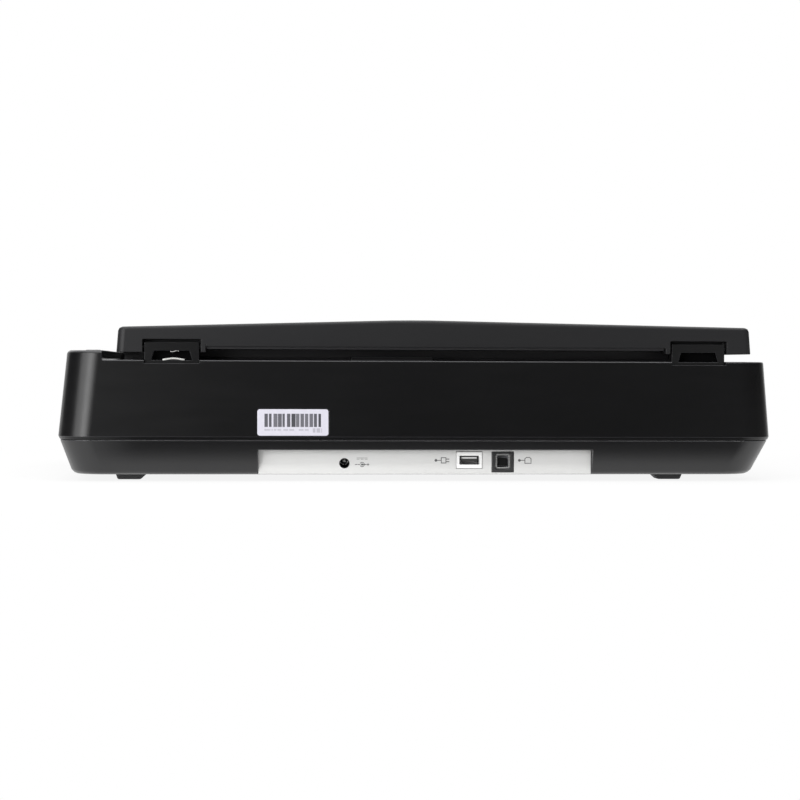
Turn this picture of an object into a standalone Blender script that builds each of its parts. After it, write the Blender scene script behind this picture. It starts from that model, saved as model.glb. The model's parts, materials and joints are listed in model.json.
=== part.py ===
"""Flatbed document scanner with a lid that is hinged along its long rear side.

Units are metres. +X points right as seen from the front, +Y to the rear, +Z up.
The origin lies on the desk, under the middle of the housing.
"""
import math

import bmesh
import bpy
from mathutils import Matrix, Vector

MM = 0.001
DEGREE = math.pi / 180

# Fits that every piece shares
GAP = 0.3 * MM  # air between two pieces that touch
WELD = 0.01 * MM  # points nearer than this become one
SLIDE_GAP = 0.4 * MM  # air round a piece that slides
JOIN = 0.5 * MM  # how far one solid reaches into the one it is joined to
OVERRUN = 3.0 * MM  # how far a cutter passes the surface it cuts
ROUND_SIDES = 24
SMALL_SIDES = 12
CORNER_STEPS = 6

# Housing, outside
BODY_LENGTH = 462 * MM
BODY_DEPTH = 290 * MM
FOOT_HEIGHT = 4.3 * MM
TRAY_HEIGHT = 22.2 * MM
COVER_HEIGHT = 51.0 * MM
BAND_RISE = 5.9 * MM
BAND_WIDTH = 28.5 * MM
TOE_WIDTH = 7.0 * MM  # the band's toe beside the lid's front corner
TOE_DEPTH = 14.0 * MM
CORNER_RADIUS = 22 * MM
WALL = 2.5 * MM
FLOOR = 2.5 * MM
COVER_RIM = 2.2 * MM  # height of the turned-in lower edge of the cover
RIM_STEP = 1.0 * MM
COVER_INSET_RIGHT = 4.8 * MM
COVER_INSET_LEFT = 2.9 * MM
COVER_INSET_END = 4.5 * MM  # front and rear
TRAY_INSET_RIGHT = 7.7 * MM
TRAY_INSET_LEFT = 9.8 * MM
TRAY_INSET_END = 9.5 * MM
TRAY_EDGE = 2.6 * MM
BAND_EDGE = 2.0 * MM

# Platen window, from the housing's widest line
WINDOW_FROM_LEFT = 67.1 * MM
WINDOW_FROM_RIGHT = 92.9 * MM
WINDOW_FROM_FRONT = 27.0 * MM
WINDOW_FROM_REAR = 43.0 * MM
GLASS_THICKNESS = 2.8 * MM
GLASS_LAP = 5.0 * MM  # how far the glass lies on its ledge
BEZEL_THICKNESS = 0.8 * MM
LEDGE_THICKNESS = 2.5 * MM
LEDGE_WIDTH = 12.0 * MM
STRIP_WIDTH = 9.0 * MM
STRIP_THICKNESS = 0.5 * MM

# Lid
LID_FROM_LEFT = 14.7 * MM
LID_TO_BAND = 8.9 * MM
LID_FROM_FRONT = 2.0 * MM
LID_FROM_REAR = 6.0 * MM
LID_GAP = 4.9 * MM  # air under the lid's skirt
LID_WALL = 2.5 * MM
LID_CORNER = 5.0 * MM
LID_LEAN = 1.6 * MM  # how far the ends lean out
RIDGE_X = 5.5 * MM
RIDGE_RISE = 25.9 * MM  # over the cover's top face
ROOF_RISE_RIGHT = 20.9 * MM
ROOF_RISE_LEFT = 22.0 * MM
RIDGE_BLEND = 25 * MM
LID_EDGE = 2.5 * MM
LID_EDGE_STEPS = 2
REAR_SKIRT_RISE = 9.7 * MM  # lower edge of the rear skirt between the hinges
GRIP_WIDTH = 90 * MM
GRIP_HEIGHT = 3.5 * MM
PANEL_THICKNESS = 2.0 * MM
PANEL_RISE = 7.0 * MM
PANEL_RIB_HEIGHT = 5.5 * MM
MAT_MARGIN = 2.0 * MM
SHEET_THICKNESS = 0.5 * MM
MAT_TO_RIB = 4.0 * MM
LIGHT_RIM = 1.6 * MM  # thickness of the rim that keeps light off the glass
LIGHT_RIM_FROM_LEFT = 13.0 * MM  # from the lid's ends
LIGHT_RIM_FROM_RIGHT = 4.0 * MM
LIGHT_RIM_FROM_FRONT = 10.0 * MM
LIGHT_RIM_FROM_REAR = 34.0 * MM

# Hinges
HINGE_FROM_END = 35.1 * MM  # from the lid's end to the middle of the leg
HINGE_WIDTH = 34.5 * MM
HINGE_THICKNESS = 7.0 * MM
PIVOT_INSET = 5.0 * MM  # from the lid's rear face
PIVOT_RISE = 8.5 * MM
CROSSBAR_HEIGHT = 5.2 * MM
POST_WIDTH_TOP = 6.0 * MM
POST_WIDTH_LOW = 4.2 * MM
LEG_DEPTH = 31.0 * MM  # how far a leg stands in its well
NOTCH_WIDTH = 37.0 * MM
NOTCH_RISE = 13.2 * MM
EAR_WIDTH = 3.0 * MM
PIN_RADIUS = 1.2 * MM
WELL_WALL = 2.0 * MM
REAR_NOTCH_DEPTH = 2.2 * MM
LIFT_TRAVEL = 15.0 * MM

# Rear stop on the cover's top face
STOP_WIDTH = 53 * MM
STOP_FROM_MIDDLE = 17.8 * MM
STOP_DEPTH = 8.0 * MM
STOP_HEIGHT = 2.4 * MM
STOP_FROM_EDGE = 4.0 * MM

# Connector panel and the sockets in it, each placed from the panel's right end
PANEL_LENGTH = 215.5 * MM
PANEL_FROM_RIGHT = 127.5 * MM
PANEL_TOP = 15.9 * MM  # over the bottom of the tray
PANEL_FROM_REAR = 10.5 * MM
PLATE_THICKNESS = 1.2 * MM
RECESS_WALL = 1.6 * MM
POWER_FROM_END = 55.4 * MM
POWER_HEIGHT = 7.2 * MM
POWER_SNOUT_RADIUS = 3.0 * MM
POWER_BORE_RADIUS = 2.6 * MM
POWER_PIN_RADIUS = 0.95 * MM
POWER_WIDTH = 9.4 * MM
POWER_LENGTH = 14.0 * MM
HOST_FROM_END = 136.0 * MM
HOST_WIDTH = 16.6 * MM
HOST_HEIGHT = 10.7 * MM
HOST_OPENING_WIDTH = 12.5 * MM
HOST_OPENING_HEIGHT = 5.6 * MM
HOST_LENGTH = 15.0 * MM
HOST_DEPTH = 11.0 * MM
HOST_TONGUE_THICKNESS = 1.9 * MM
HOST_TONGUE_WIDTH = 10.6 * MM
DEVICE_FROM_END = 157.8 * MM
DEVICE_WIDTH = 14.0 * MM
DEVICE_HEIGHT = 13.0 * MM
DEVICE_LENGTH = 15.0 * MM
SHELL_WIDTH = 9.2 * MM
SHELL_HEIGHT = 9.4 * MM
SHELL_WALL = 0.4 * MM
SHELL_DEPTH = 11.0 * MM
DEVICE_TONGUE_WIDTH = 5.2 * MM
DEVICE_TONGUE_HEIGHT = 3.2 * MM
TONGUE_SETBACK = 1.8 * MM
SOCKET_PROUD = 0.4 * MM

# Rear label
LABEL_FROM_RIGHT = 149.5 * MM
LABEL_WIDTH = 45.2 * MM
LABEL_HEIGHT = 16.9 * MM
LABEL_THICKNESS = 0.25 * MM
LABEL_FROM_SEAM = 0.8 * MM
LABEL_CORNER = 1.6 * MM

# Feet
FOOT_FROM_RIGHT = 46.2 * MM
FOOT_FROM_LEFT = 64.6 * MM
FOOT_FROM_END = 41.0 * MM
FOOT_WIDTH = 21.0 * MM
FOOT_DEPTH = 16.0 * MM
FOOT_TAPER_OUTER = 1.5 * MM
FOOT_TAPER_INNER = 4.6 * MM
FOOT_TAPER_END = 1.5 * MM
FOOT_POCKET = 1.0 * MM

# Screws and the bosses that take them
SCREW_RADIUS = 1.5 * MM
SCREW_HEAD_RADIUS = 2.9 * MM
SCREW_HEAD_HEIGHT = 2.0 * MM
SCREW_LENGTH = 26.0 * MM
SCREW_BORE = 1.8 * MM
BOSS_RADIUS = 4.5 * MM
BOSS_FROM_END = 23.0 * MM
BOSS_FROM_SIDE = 24.5 * MM
COUNTERBORE_RADIUS = 3.3 * MM
COUNTERBORE_DEPTH = 10.0 * MM
PEG_RADIUS = 1.4 * MM  # staked pegs on the tray hold the board, the rod holders and the bracket
PEG_BORE = 1.8 * MM
PEG_PROUD = 1.0 * MM
PEG_BOSS_RADIUS = 3.2 * MM

# Main board
BOARD_PAST_DEVICE = 22.4 * MM
BOARD_PAST_POWER = 34.6 * MM
BOARD_DEPTH = 43 * MM
BOARD_THICKNESS = 1.6 * MM
BOARD_RISE = 14.9 * MM  # underside over the bottom of the tray
BOARD_PEG_INSET = 5.0 * MM
CHIP_HEIGHT = 1.6 * MM

# Control panel on the raised band
CONTROL_WIDTH = 15.0 * MM
CONTROL_LENGTH = 150 * MM
CONTROL_FROM_FRONT = 34 * MM
CONTROL_THICKNESS = 1.0 * MM
BAND_WALL = 1.5 * MM
BUTTON_PITCH = 22.0 * MM
BUTTON_COUNT = 4
BUTTON_WIDTH = 9.0 * MM
BUTTON_LENGTH = 13.0 * MM
POWER_BUTTON_RADIUS = 5.0 * MM
BUTTON_PROUD = 1.0 * MM
BUTTON_LIP = 1.2 * MM
BUTTON_LIP_THICKNESS = 1.2 * MM
BUTTON_TRAVEL = 0.8 * MM
BUTTON_STEM = 2.0 * MM
SWITCH_SIZE = 5.0 * MM
SWITCH_HEIGHT = 3.0 * MM
KEY_BOARD_THICKNESS = 1.4 * MM

# Carriage
CARRIAGE_WIDTH = 62 * MM
CARRIAGE_RISE = 0.5 * MM  # over the seam
LAMP_CLEARANCE = 2.5 * MM  # under the calibration strip
CARRIAGE_WALL = 2.0 * MM
CARRIAGE_COVER = 1.6 * MM
CARRIAGE_FROM_FRONT = 17.0 * MM
CARRIAGE_FROM_REAR = 27.0 * MM
HOME_OFFSET = 5.5 * MM  # scan line at home, past the window's right edge
TRAVEL_MARGIN = 7.5 * MM  # the scan line stops this short of the window's left edge
SLIT_WIDTH = 7.0 * MM
LAMP_RADIUS = 1.5 * MM
LAMP_OFFSET = 10.0 * MM
LAMP_MARGIN = 6.0 * MM
HOLDER_WIDTH = 5.0 * MM
HOLDER_DEPTH_X = 8.0 * MM
HOLDER_RISE = 3.6 * MM
LAMP_RISE = 0.8 * MM
MIRROR_THICKNESS = 2.0 * MM
MIRROR_WIDTH = 12.0 * MM
MIRROR_TILTS = (45, -62)
MIRROR_X_SHARES = (0.0, 0.62)
MIRROR_Z_SHARES = (0.34, 0.48)
LENS_RADIUS = 6.0 * MM
LENS_LENGTH = 18.0 * MM
LENS_FROM_MIDDLE = 15.5 * MM
LENS_DROP = 12.5 * MM  # lens axis under the carriage cover
CRADLE_WIDTH = 10.0 * MM
SENSOR_LENGTH = 60 * MM
SENSOR_HEIGHT = 16 * MM
SENSOR_THICKNESS = 1.4 * MM

# Guide rod, rail and the things that run on them
ROD_RADIUS = 4.0 * MM
ROD_DROP = 6.5 * MM  # under the seam
ROD_FROM_REAR = 77.0 * MM
ROD_FROM_END = 17.0 * MM
HOLDER_LENGTH = 10.0 * MM
HOLDER_DEPTH = 14.0 * MM
HOLDER_TAB = 8.0 * MM
TAB_THICKNESS = 2.5 * MM
BUSHING_RADIUS = 5.2 * MM
BUSHING_LENGTH = 12.0 * MM
BUSHING_OFFSET = 22.0 * MM
BUSHING_WALL_Y = 8.0 * MM  # half the block's width
BUSHING_WALL_Z = 7.8 * MM  # from the rod's axis to the block's underside
RAIL_FROM_FRONT = 33.0 * MM
RAIL_WIDTH = 6.0 * MM
RAIL_DROP = 2.5 * MM  # under the seam
SHOE_LENGTH = 40 * MM
SHOE_WIDTH = 12 * MM

# Belt drive
MODULE = 0.8 * MM
GEAR_TEETH = 50
PINION_TEETH = 12
ADDENDUM_SHARE = 0.8
DEDENDUM_SHARE = 1.2
TOOTH_TIP_SHARE = 0.20
TOOTH_ROOT_SHARE = 0.58
GEAR_THICKNESS = 3.5 * MM
GEAR_RISE = 2.7 * MM  # over the tray's floor
DRIVE_FROM_END = 35.0 * MM
DRIVE_FROM_REAR = 105.0 * MM
IDLER_FROM_END = 26.0 * MM
PULLEY_RADIUS = 5.0 * MM
PULLEY_GAP = 0.3 * MM
FLANGE_RADIUS = 7.5 * MM
FLANGE_THICKNESS = 0.7 * MM
BELT_THICKNESS = 1.0 * MM
BELT_WIDTH = 5.4 * MM
HUB_RADIUS = 4.0 * MM
STUD_RADIUS = 1.5 * MM
STUD_BORE = 1.85 * MM
STUD_BASE_RADIUS = 3.0 * MM
MOTOR_RADIUS = 17.0 * MM
MOTOR_HEIGHT = 22.0 * MM
MOTOR_SHAFT_RADIUS = 1.0 * MM
MOTOR_BOSS_RADIUS = 4.0 * MM
MOTOR_BOSS_HEIGHT = 1.0 * MM
BRACKET_THICKNESS = 1.5 * MM
BRACKET_RISE = 3.0 * MM  # top face over the gear's
BRACKET_HALF_LENGTH = 20.0 * MM
BRACKET_FRONT = 19.5 * MM
BRACKET_REAR = 17.0 * MM
BRACKET_TAB = 7.0 * MM
TENSIONER_WIDTH = 18.0 * MM
TENSIONER_REACH = 5.0 * MM
TENSIONER_BACK = 11.0 * MM
TENSIONER_BACK_WALL = 2.6 * MM
TENSIONER_ARM = 2.2 * MM
SPRING_RADIUS = 2.4 * MM
SPRING_WIRE = 0.35 * MM
SPRING_TURNS = 5
SPRING_TURN_POINTS = 8
CLAMP_HALF_LENGTH = 8.0 * MM
CLAMP_JAW = 2.2 * MM
CLAMP_BELOW_BELT = 1.4 * MM

# Flat cable on the tray's floor
RIBBON_WIDTH = 20 * MM
RIBBON_THICKNESS = 0.4 * MM
RIBBON_FROM_FRONT = 125 * MM
RIBBON_END_FROM_HOME = 4.0 * MM
RIBBON_SOCKET = 4.0 * MM

# Transport lock: its stem slides to the glide shoe's end, beside the rail
LOCK_TRAVEL = 8.0 * MM
LOCK_RAIL_GAP = 0.8 * MM
LOCK_PLATE = 16.0 * MM
LOCK_PLATE_THICKNESS = 1.4 * MM
LOCK_STEM = 3.5 * MM
LOCK_STEM_DROP = 0.4 * MM  # its top under the seam
LOCK_FLANGE = 9.0 * MM
LOCK_FLANGE_THICKNESS = 1.0 * MM
LOCK_RECESS = 1.6 * MM

# Lines that follow from the sizes above
RIGHT = BODY_LENGTH / 2
REAR = BODY_DEPTH / 2
SEAM_Z = FOOT_HEIGHT + TRAY_HEIGHT
TOP_Z = SEAM_Z + COVER_HEIGHT
WIDEST_Z = SEAM_Z + COVER_RIM
BAND_TOP = TOP_Z + BAND_RISE
BAND_X = RIGHT - BAND_WIDTH
FLOOR_TOP = FOOT_HEIGHT + FLOOR
CEILING_Z = TOP_Z - WALL
WINDOW_X = (-RIGHT + WINDOW_FROM_LEFT, RIGHT - WINDOW_FROM_RIGHT)
WINDOW_Y = (-REAR + WINDOW_FROM_FRONT, REAR - WINDOW_FROM_REAR)
GLASS_TOP = TOP_Z - BEZEL_THICKNESS - GAP
LEDGE_TOP = GLASS_TOP - GLASS_THICKNESS - GAP
LEDGE_BOTTOM = LEDGE_TOP - LEDGE_THICKNESS
STRIP_TOP = LEDGE_BOTTOM - GAP
STRIP_BOTTOM = STRIP_TOP - STRIP_THICKNESS
LID_X = (-RIGHT + LID_FROM_LEFT, BAND_X - LID_TO_BAND)
LID_Y = (-REAR + LID_FROM_FRONT, REAR - LID_FROM_REAR)
LID_BOTTOM = TOP_Z + LID_GAP
LID_MIDDLE = (LID_X[0] + LID_X[1]) / 2
RIDGE_Z = TOP_Z + RIDGE_RISE
HINGES = {"left": LID_X[0] + HINGE_FROM_END, "right": LID_X[1] - HINGE_FROM_END}
PIVOT_Y = LID_Y[1] - PIVOT_INSET
PIVOT_Z = TOP_Z + PIVOT_RISE
LEG_BOTTOM = TOP_Z - LEG_DEPTH
WELL_BOTTOM = LEG_BOTTOM - GAP
PANEL_Y = REAR - PANEL_FROM_REAR
PANEL_X = (RIGHT - PANEL_FROM_RIGHT - PANEL_LENGTH, RIGHT - PANEL_FROM_RIGHT)
POWER_X = PANEL_X[1] - POWER_FROM_END
HOST_X = PANEL_X[1] - HOST_FROM_END
DEVICE_X = PANEL_X[1] - DEVICE_FROM_END
RECESS_Y = PANEL_Y - PLATE_THICKNESS - GAP
PANEL_TOP_Z = FOOT_HEIGHT + PANEL_TOP
BOARD_X = (DEVICE_X - BOARD_PAST_DEVICE, POWER_X + BOARD_PAST_POWER)
BOARD_MIDDLE = (BOARD_X[0] + BOARD_X[1]) / 2
BOARD_HALF = (BOARD_X[1] - BOARD_X[0]) / 2
LABEL_X = RIGHT - LABEL_FROM_RIGHT
BOARD_Z = FOOT_HEIGHT + BOARD_RISE
BOARD_TOP = BOARD_Z + BOARD_THICKNESS
BOARD_Y = (RECESS_Y - RECESS_WALL - GAP - BOARD_DEPTH, RECESS_Y - RECESS_WALL - GAP)
SOCKET_TOP = BOARD_Z - GAP
HOME_X = WINDOW_X[1] + HOME_OFFSET
CARRIAGE_X = (HOME_X - CARRIAGE_WIDTH / 2, HOME_X + CARRIAGE_WIDTH / 2)
CARRIAGE_Y = (-REAR + CARRIAGE_FROM_FRONT, REAR - CARRIAGE_FROM_REAR)
CARRIAGE_LENGTH = CARRIAGE_Y[1] - CARRIAGE_Y[0]
CARRIAGE_TRAVEL = HOME_X - WINDOW_X[0] - TRAVEL_MARGIN
COVER_Z = STRIP_BOTTOM - LAMP_CLEARANCE - HOLDER_RISE - CARRIAGE_COVER
CARRIAGE_TOP = COVER_Z - GAP
CARRIAGE_BOTTOM = SEAM_Z + CARRIAGE_RISE
CARRIAGE_HEIGHT = CARRIAGE_TOP - CARRIAGE_BOTTOM
ROD_Y = REAR - ROD_FROM_REAR
ROD_Z = SEAM_Z - ROD_DROP
RAIL_TOP = SEAM_Z - RAIL_DROP
ROD_X = (-RIGHT + ROD_FROM_END, RIGHT - ROD_FROM_END)
RAIL_Y = -REAR + RAIL_FROM_FRONT
DRIVE_X = RIGHT - DRIVE_FROM_END
DRIVE_Y = REAR - DRIVE_FROM_REAR
IDLER_X = -RIGHT + IDLER_FROM_END
CENTRE_DISTANCE = MODULE * (GEAR_TEETH + PINION_TEETH) / 2
MOTOR_Y = DRIVE_Y - CENTRE_DISTANCE
GEAR_BOTTOM = FLOOR_TOP + GEAR_RISE
BRACKET_TOP = GEAR_BOTTOM + GEAR_THICKNESS + BRACKET_RISE
BELT_Z = ROD_Z
BELT_INNER = PULLEY_RADIUS + PULLEY_GAP
BELT_OUTER = BELT_INNER + BELT_THICKNESS
BELT_LOW = BELT_Z - BELT_WIDTH / 2
BELT_HIGH = BELT_Z + BELT_WIDTH / 2
CONTROL_X = (BAND_X + RIGHT - COVER_INSET_RIGHT) / 2
CONTROL_Y = (-REAR + CONTROL_FROM_FRONT, -REAR + CONTROL_FROM_FRONT + CONTROL_LENGTH)
CONTROL_FLOOR = BAND_TOP - CONTROL_THICKNESS - GAP
BAND_CEILING = CONTROL_FLOOR - BAND_WALL
LIP_TOP = BAND_CEILING - GAP
STEM_BOTTOM = LIP_TOP - BUTTON_LIP_THICKNESS - BUTTON_STEM
SWITCH_TOP = STEM_BOTTOM - BUTTON_TRAVEL - GAP
KEY_BOARD_TOP = SWITCH_TOP - SWITCH_HEIGHT
POWER_BUTTON_Y = CONTROL_Y[1] - BUTTON_PITCH / 2
POST_Y = POWER_BUTTON_Y - BUTTON_PITCH
LOCK_X = HOME_X - SHOE_LENGTH / 2 - GAP - LOCK_STEM / 2
LOCK_Y = RAIL_Y + RAIL_WIDTH / 2 + LOCK_RAIL_GAP + LOCK_STEM / 2 + LOCK_TRAVEL
LOCK_STEM_TOP = SEAM_Z - LOCK_STEM_DROP
RIBBON_RUN_Y = -REAR + RIBBON_FROM_FRONT
BUTTON_NAMES = ("file_button", "mail_button", "copy_button", "scan_button")
BUTTON_Y = [CONTROL_Y[0] + BUTTON_PITCH * (number + 1 / 2) for number in range(BUTTON_COUNT)]

# Colours: red, green, blue, roughness, metallic
BLACK = (0.022, 0.022, 0.024, 0.42, 0)
LID_BLACK = (0.028, 0.028, 0.030, 0.5, 0)
RUBBER = (0.03, 0.03, 0.03, 0.85, 0)
GREY_PANEL = (0.62, 0.62, 0.61, 0.45, 0)
DARK_INNER = (0.05, 0.05, 0.055, 0.6, 0)
WHITE = (0.85, 0.85, 0.83, 0.5, 0)
GLASS = (0.75, 0.82, 0.80, 0.05, 0)
STEEL = (0.62, 0.62, 0.62, 0.3, 1)
BRASS = (0.6, 0.45, 0.2, 0.35, 1)
BOARD_GREEN = (0.03, 0.16, 0.07, 0.5, 0)
GREY_PLASTIC = (0.35, 0.35, 0.36, 0.5, 0)
AMBER = (0.75, 0.45, 0.12, 0.5, 0)


def clear_scene():
    for obj in list(bpy.data.objects):
        bpy.data.objects.remove(obj)


def new_folder(name):
    folder = bpy.data.collections.new(name)
    bpy.context.scene.collection.children.link(folder)
    return folder


clear_scene()
PARTS = new_folder("flatbed_scanner")
CUTTERS = new_folder("cutters")


def from_bmesh(name, bm):
    bmesh.ops.recalc_face_normals(bm, faces=bm.faces)
    mesh = bpy.data.meshes.new(name)
    bm.to_mesh(mesh)
    bm.free()
    obj = bpy.data.objects.new(name, mesh)
    PARTS.objects.link(obj)
    return obj


def block(name, low, high):
    """A cuboid between two opposite corners."""
    low, high = Vector(low), Vector(high)
    bm = bmesh.new()
    bmesh.ops.create_cube(bm, size=1, matrix=Matrix.Diagonal((*(high - low), 1)))
    obj = from_bmesh(name, bm)
    obj.location = (low + high) / 2
    return obj


def cylinder(name, start, end, radius, sides=ROUND_SIDES, end_radius=None):
    """A cylinder or cone between two points."""
    start, end = Vector(start), Vector(end)
    bm = bmesh.new()
    last = radius if end_radius is None else end_radius
    length = (end - start).length
    bmesh.ops.create_cone(bm, cap_ends=True, segments=sides, radius1=radius, radius2=last, depth=length)
    obj = from_bmesh(name, bm)
    obj.location = (start + end) / 2
    obj.rotation_euler = (end - start).to_track_quat("Z", "Y").to_euler()
    obj.data.shade_smooth()
    obj.data.set_sharp_from_angle(angle=40 * DEGREE)
    return obj


def finished_mesh(obj):
    """A mesh with the object's modifiers and its place worked in."""
    bpy.context.view_layer.update()
    graph = bpy.context.evaluated_depsgraph_get()
    mesh = bpy.data.meshes.new_from_object(obj.evaluated_get(graph))
    mesh.transform(obj.matrix_world)
    return mesh


def group(name, pieces):
    """One tool that holds several separate solids."""
    bm = bmesh.new()
    for piece in pieces:
        bm.from_mesh(finished_mesh(piece))
        bpy.data.objects.remove(piece)
    return from_bmesh(name, bm)


def ring(box, radius, z):
    """Points of a rounded rectangle at height z, anticlockwise as seen from above."""
    x_low, x_high, y_low, y_high = box
    points = []
    sides = ((x_high, y_high, 1, 1), (x_low, y_high, -1, 1), (x_low, y_low, -1, -1), (x_high, y_low, 1, -1))
    for number, (x, y, side_x, side_y) in enumerate(sides):
        for step in range(CORNER_STEPS + 1):
            angle = math.pi / 2 * (number + step / CORNER_STEPS)
            reach_x = radius * (math.cos(angle) - side_x)
            reach_y = radius * (math.sin(angle) - side_y)
            points.append((x + reach_x, y + reach_y, z))
    return points


def loft(name, rings):
    """A solid through rings that all have the same number of points."""
    bm = bmesh.new()
    rows = [[bm.verts.new(point) for point in points] for points in rings]
    for low, high in zip(rows, rows[1:]):
        for here in range(len(low)):
            there = (here + 1) % len(low)
            bm.faces.new((low[here], low[there], high[there], high[here]))
    bm.faces.new(rows[0])
    bm.faces.new(rows[-1])
    return from_bmesh(name, bm)


def rounded_block(name, box, z_low, z_high, radius):
    return loft(name, [ring(box, radius, z_low), ring(box, radius, z_high)])


def mesh_of_curve(obj):
    """Turns a curve object into a mesh object with welded caps."""
    bpy.context.view_layer.update()
    graph = bpy.context.evaluated_depsgraph_get()
    mesh = bpy.data.meshes.new_from_object(obj.evaluated_get(graph))
    bm = bmesh.new()
    bm.from_mesh(mesh)
    bmesh.ops.remove_doubles(bm, verts=bm.verts, dist=WELD)
    name = obj.name
    place = obj.matrix_world.copy()
    bpy.data.objects.remove(obj)
    new = from_bmesh(name, bm)
    new.matrix_world = place
    return new


def extruded(name, outlines, thickness, centre, tilt=(0, 0, 0)):
    """A flat outline, and any holes in it, thickened both ways from its plane."""
    curve = bpy.data.curves.new(name, "CURVE")
    curve.dimensions = "2D"
    curve.fill_mode = "BOTH"
    curve.extrude = thickness / 2
    for points in outlines:
        spline = curve.splines.new("POLY")
        spline.points.add(len(points) - 1)
        for point, (x, y) in zip(spline.points, points):
            point.co = (x, y, 0, 1)
        spline.use_cyclic_u = True
    obj = bpy.data.objects.new(name, curve)
    PARTS.objects.link(obj)
    obj.location = centre
    obj.rotation_euler = tilt
    return mesh_of_curve(obj)


def turned(name, profile, centre, sides=ROUND_SIDES):
    """A closed profile of (radius, height) points turned about Z."""
    mesh = bpy.data.meshes.new(name)
    points = [(radius, 0, height) for radius, height in profile]
    edges = [(number, (number + 1) % len(points)) for number in range(len(points))]
    mesh.from_pydata(points, edges, [])
    obj = bpy.data.objects.new(name, mesh)
    PARTS.objects.link(obj)
    screw = obj.modifiers.new("turn", "SCREW")
    screw.steps = screw.render_steps = sides
    screw.use_merge_vertices = True
    screw.merge_threshold = WELD
    screw.use_smooth_shade = False
    obj.location = centre
    return obj


def use_tool(target, tool, operation, itself=False):
    """Cuts with a tool or joins it, and puts the tool among the cutters."""
    change = target.modifiers.new(tool.name, "BOOLEAN")
    change.operation = operation
    change.solver = "EXACT"
    change.use_self = itself
    change.object = tool
    PARTS.objects.unlink(tool)
    CUTTERS.objects.link(tool)
    tool.display_type = "WIRE"
    tool.hide_render = True
    return target


def cut(target, tool):
    return use_tool(target, tool, "DIFFERENCE")


def join(target, tool):
    return use_tool(target, tool, "UNION")


def paint(obj, finish):
    """Gives an object a material of its own."""
    red, green, blue, roughness, metallic = finish
    material = bpy.data.materials.new(obj.name)
    material.use_nodes = True
    shader = material.node_tree.nodes["Principled BSDF"]
    shader.inputs["Base Color"].default_value = (red, green, blue, 1)
    shader.inputs["Roughness"].default_value = roughness
    shader.inputs["Metallic"].default_value = metallic
    obj.data.materials.clear()
    obj.data.materials.append(material)
    return obj


def axis_empty(name, place):
    empty = bpy.data.objects.new(name, None)
    empty.location = place
    empty.empty_display_size = OVERRUN
    PARTS.objects.link(empty)
    return empty


def attach(parent, *pieces):
    """Parents pieces to an axis without moving them."""
    bpy.context.view_layer.update()
    for piece in pieces:
        piece.parent = parent
        piece.matrix_parent_inverse = parent.matrix_world.inverted()


# Outlines of the housing

def cover_box(z, inset=0):
    """The cover's outline at height z, drawn in on all sides by inset."""
    share = (z - WIDEST_Z) / (TOP_Z - WIDEST_Z)
    left = -RIGHT + COVER_INSET_LEFT * share + inset
    right = RIGHT - COVER_INSET_RIGHT * share - inset
    end = REAR - COVER_INSET_END * share - inset
    return left, right, -end, end


def tray_box(z, inset=0):
    """The tray's outline at height z, drawn in on all sides by inset."""
    share = (SEAM_Z - z) / TRAY_HEIGHT
    drawn = RIM_STEP + inset
    left = -RIGHT + TRAY_INSET_LEFT * share + drawn
    right = RIGHT - TRAY_INSET_RIGHT * share - drawn
    end = REAR - TRAY_INSET_END * share - drawn
    return left, right, -end, end


def screw_places():
    """Where the four housing screws stand."""
    x = RIGHT - BOSS_FROM_END
    y = REAR - BOSS_FROM_SIDE
    return [(side_x * x, side_y * y) for side_x in (-1, 1) for side_y in (-1, 1)]


def board_peg_places():
    along = (BOARD_X[0] + BOARD_PEG_INSET, BOARD_X[1] - BOARD_PEG_INSET)
    across = (BOARD_Y[0] + BOARD_PEG_INSET, BOARD_Y[1] - BOARD_PEG_INSET)
    return [(x, y) for x in along for y in across]


def tab_peg_places():
    """Where pegs rise through the tabs of the rod holders and the motor bracket."""
    y = ROD_Y + HOLDER_DEPTH / 2 + HOLDER_TAB / 2
    ends = [(x, y) for x in holder_places()]
    bracket_y = MOTOR_Y - BRACKET_FRONT + BRACKET_TAB
    reach = BRACKET_HALF_LENGTH + BRACKET_TAB / 2
    return ends + [(DRIVE_X - reach, bracket_y)]


def holder_places():
    return (ROD_X[0] + HOLDER_LENGTH / 2, ROD_X[1] - HOLDER_LENGTH / 2)


# Tray

def tray_keepers():
    """What stays solid inside the tray: bosses, the rail, the recess wall and the stud's foot."""
    base = FOOT_HEIGHT + GAP
    keepers = []
    for x, y in screw_places():
        keepers.append(cylinder("boss", (x, y, base), (x, y, SEAM_Z), BOSS_RADIUS, SMALL_SIDES))
    for x, y in board_peg_places():
        top = BOARD_Z - GAP
        keepers.append(cylinder("boss", (x, y, base), (x, y, top), PEG_BOSS_RADIUS, SMALL_SIDES))
    low = (CARRIAGE_X[0] - CARRIAGE_TRAVEL, RAIL_Y - RAIL_WIDTH / 2, base)
    keepers.append(block("rail", low, (CARRIAGE_X[1], RAIL_Y + RAIL_WIDTH / 2, RAIL_TOP)))
    low = (PANEL_X[0] - RECESS_WALL, RECESS_Y - RECESS_WALL, base)
    high = (PANEL_X[1] + RECESS_WALL, REAR, PANEL_TOP_Z + RECESS_WALL)
    keepers.append(block("recess_wall", low, high))
    foot = GEAR_BOTTOM - GAP
    keepers.append(cylinder("stud", (DRIVE_X, DRIVE_Y, base), (DRIVE_X, DRIVE_Y, foot), STUD_BASE_RADIUS))
    return group("tray_keepers", keepers)


def tray_cavity():
    floor_radius = CORNER_RADIUS - WALL
    top = SEAM_Z + OVERRUN
    rings = [ring(tray_box(z, WALL), floor_radius, z) for z in (FLOOR_TOP, top)]
    return cut(loft("tray_cavity", rings), tray_keepers())


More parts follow.
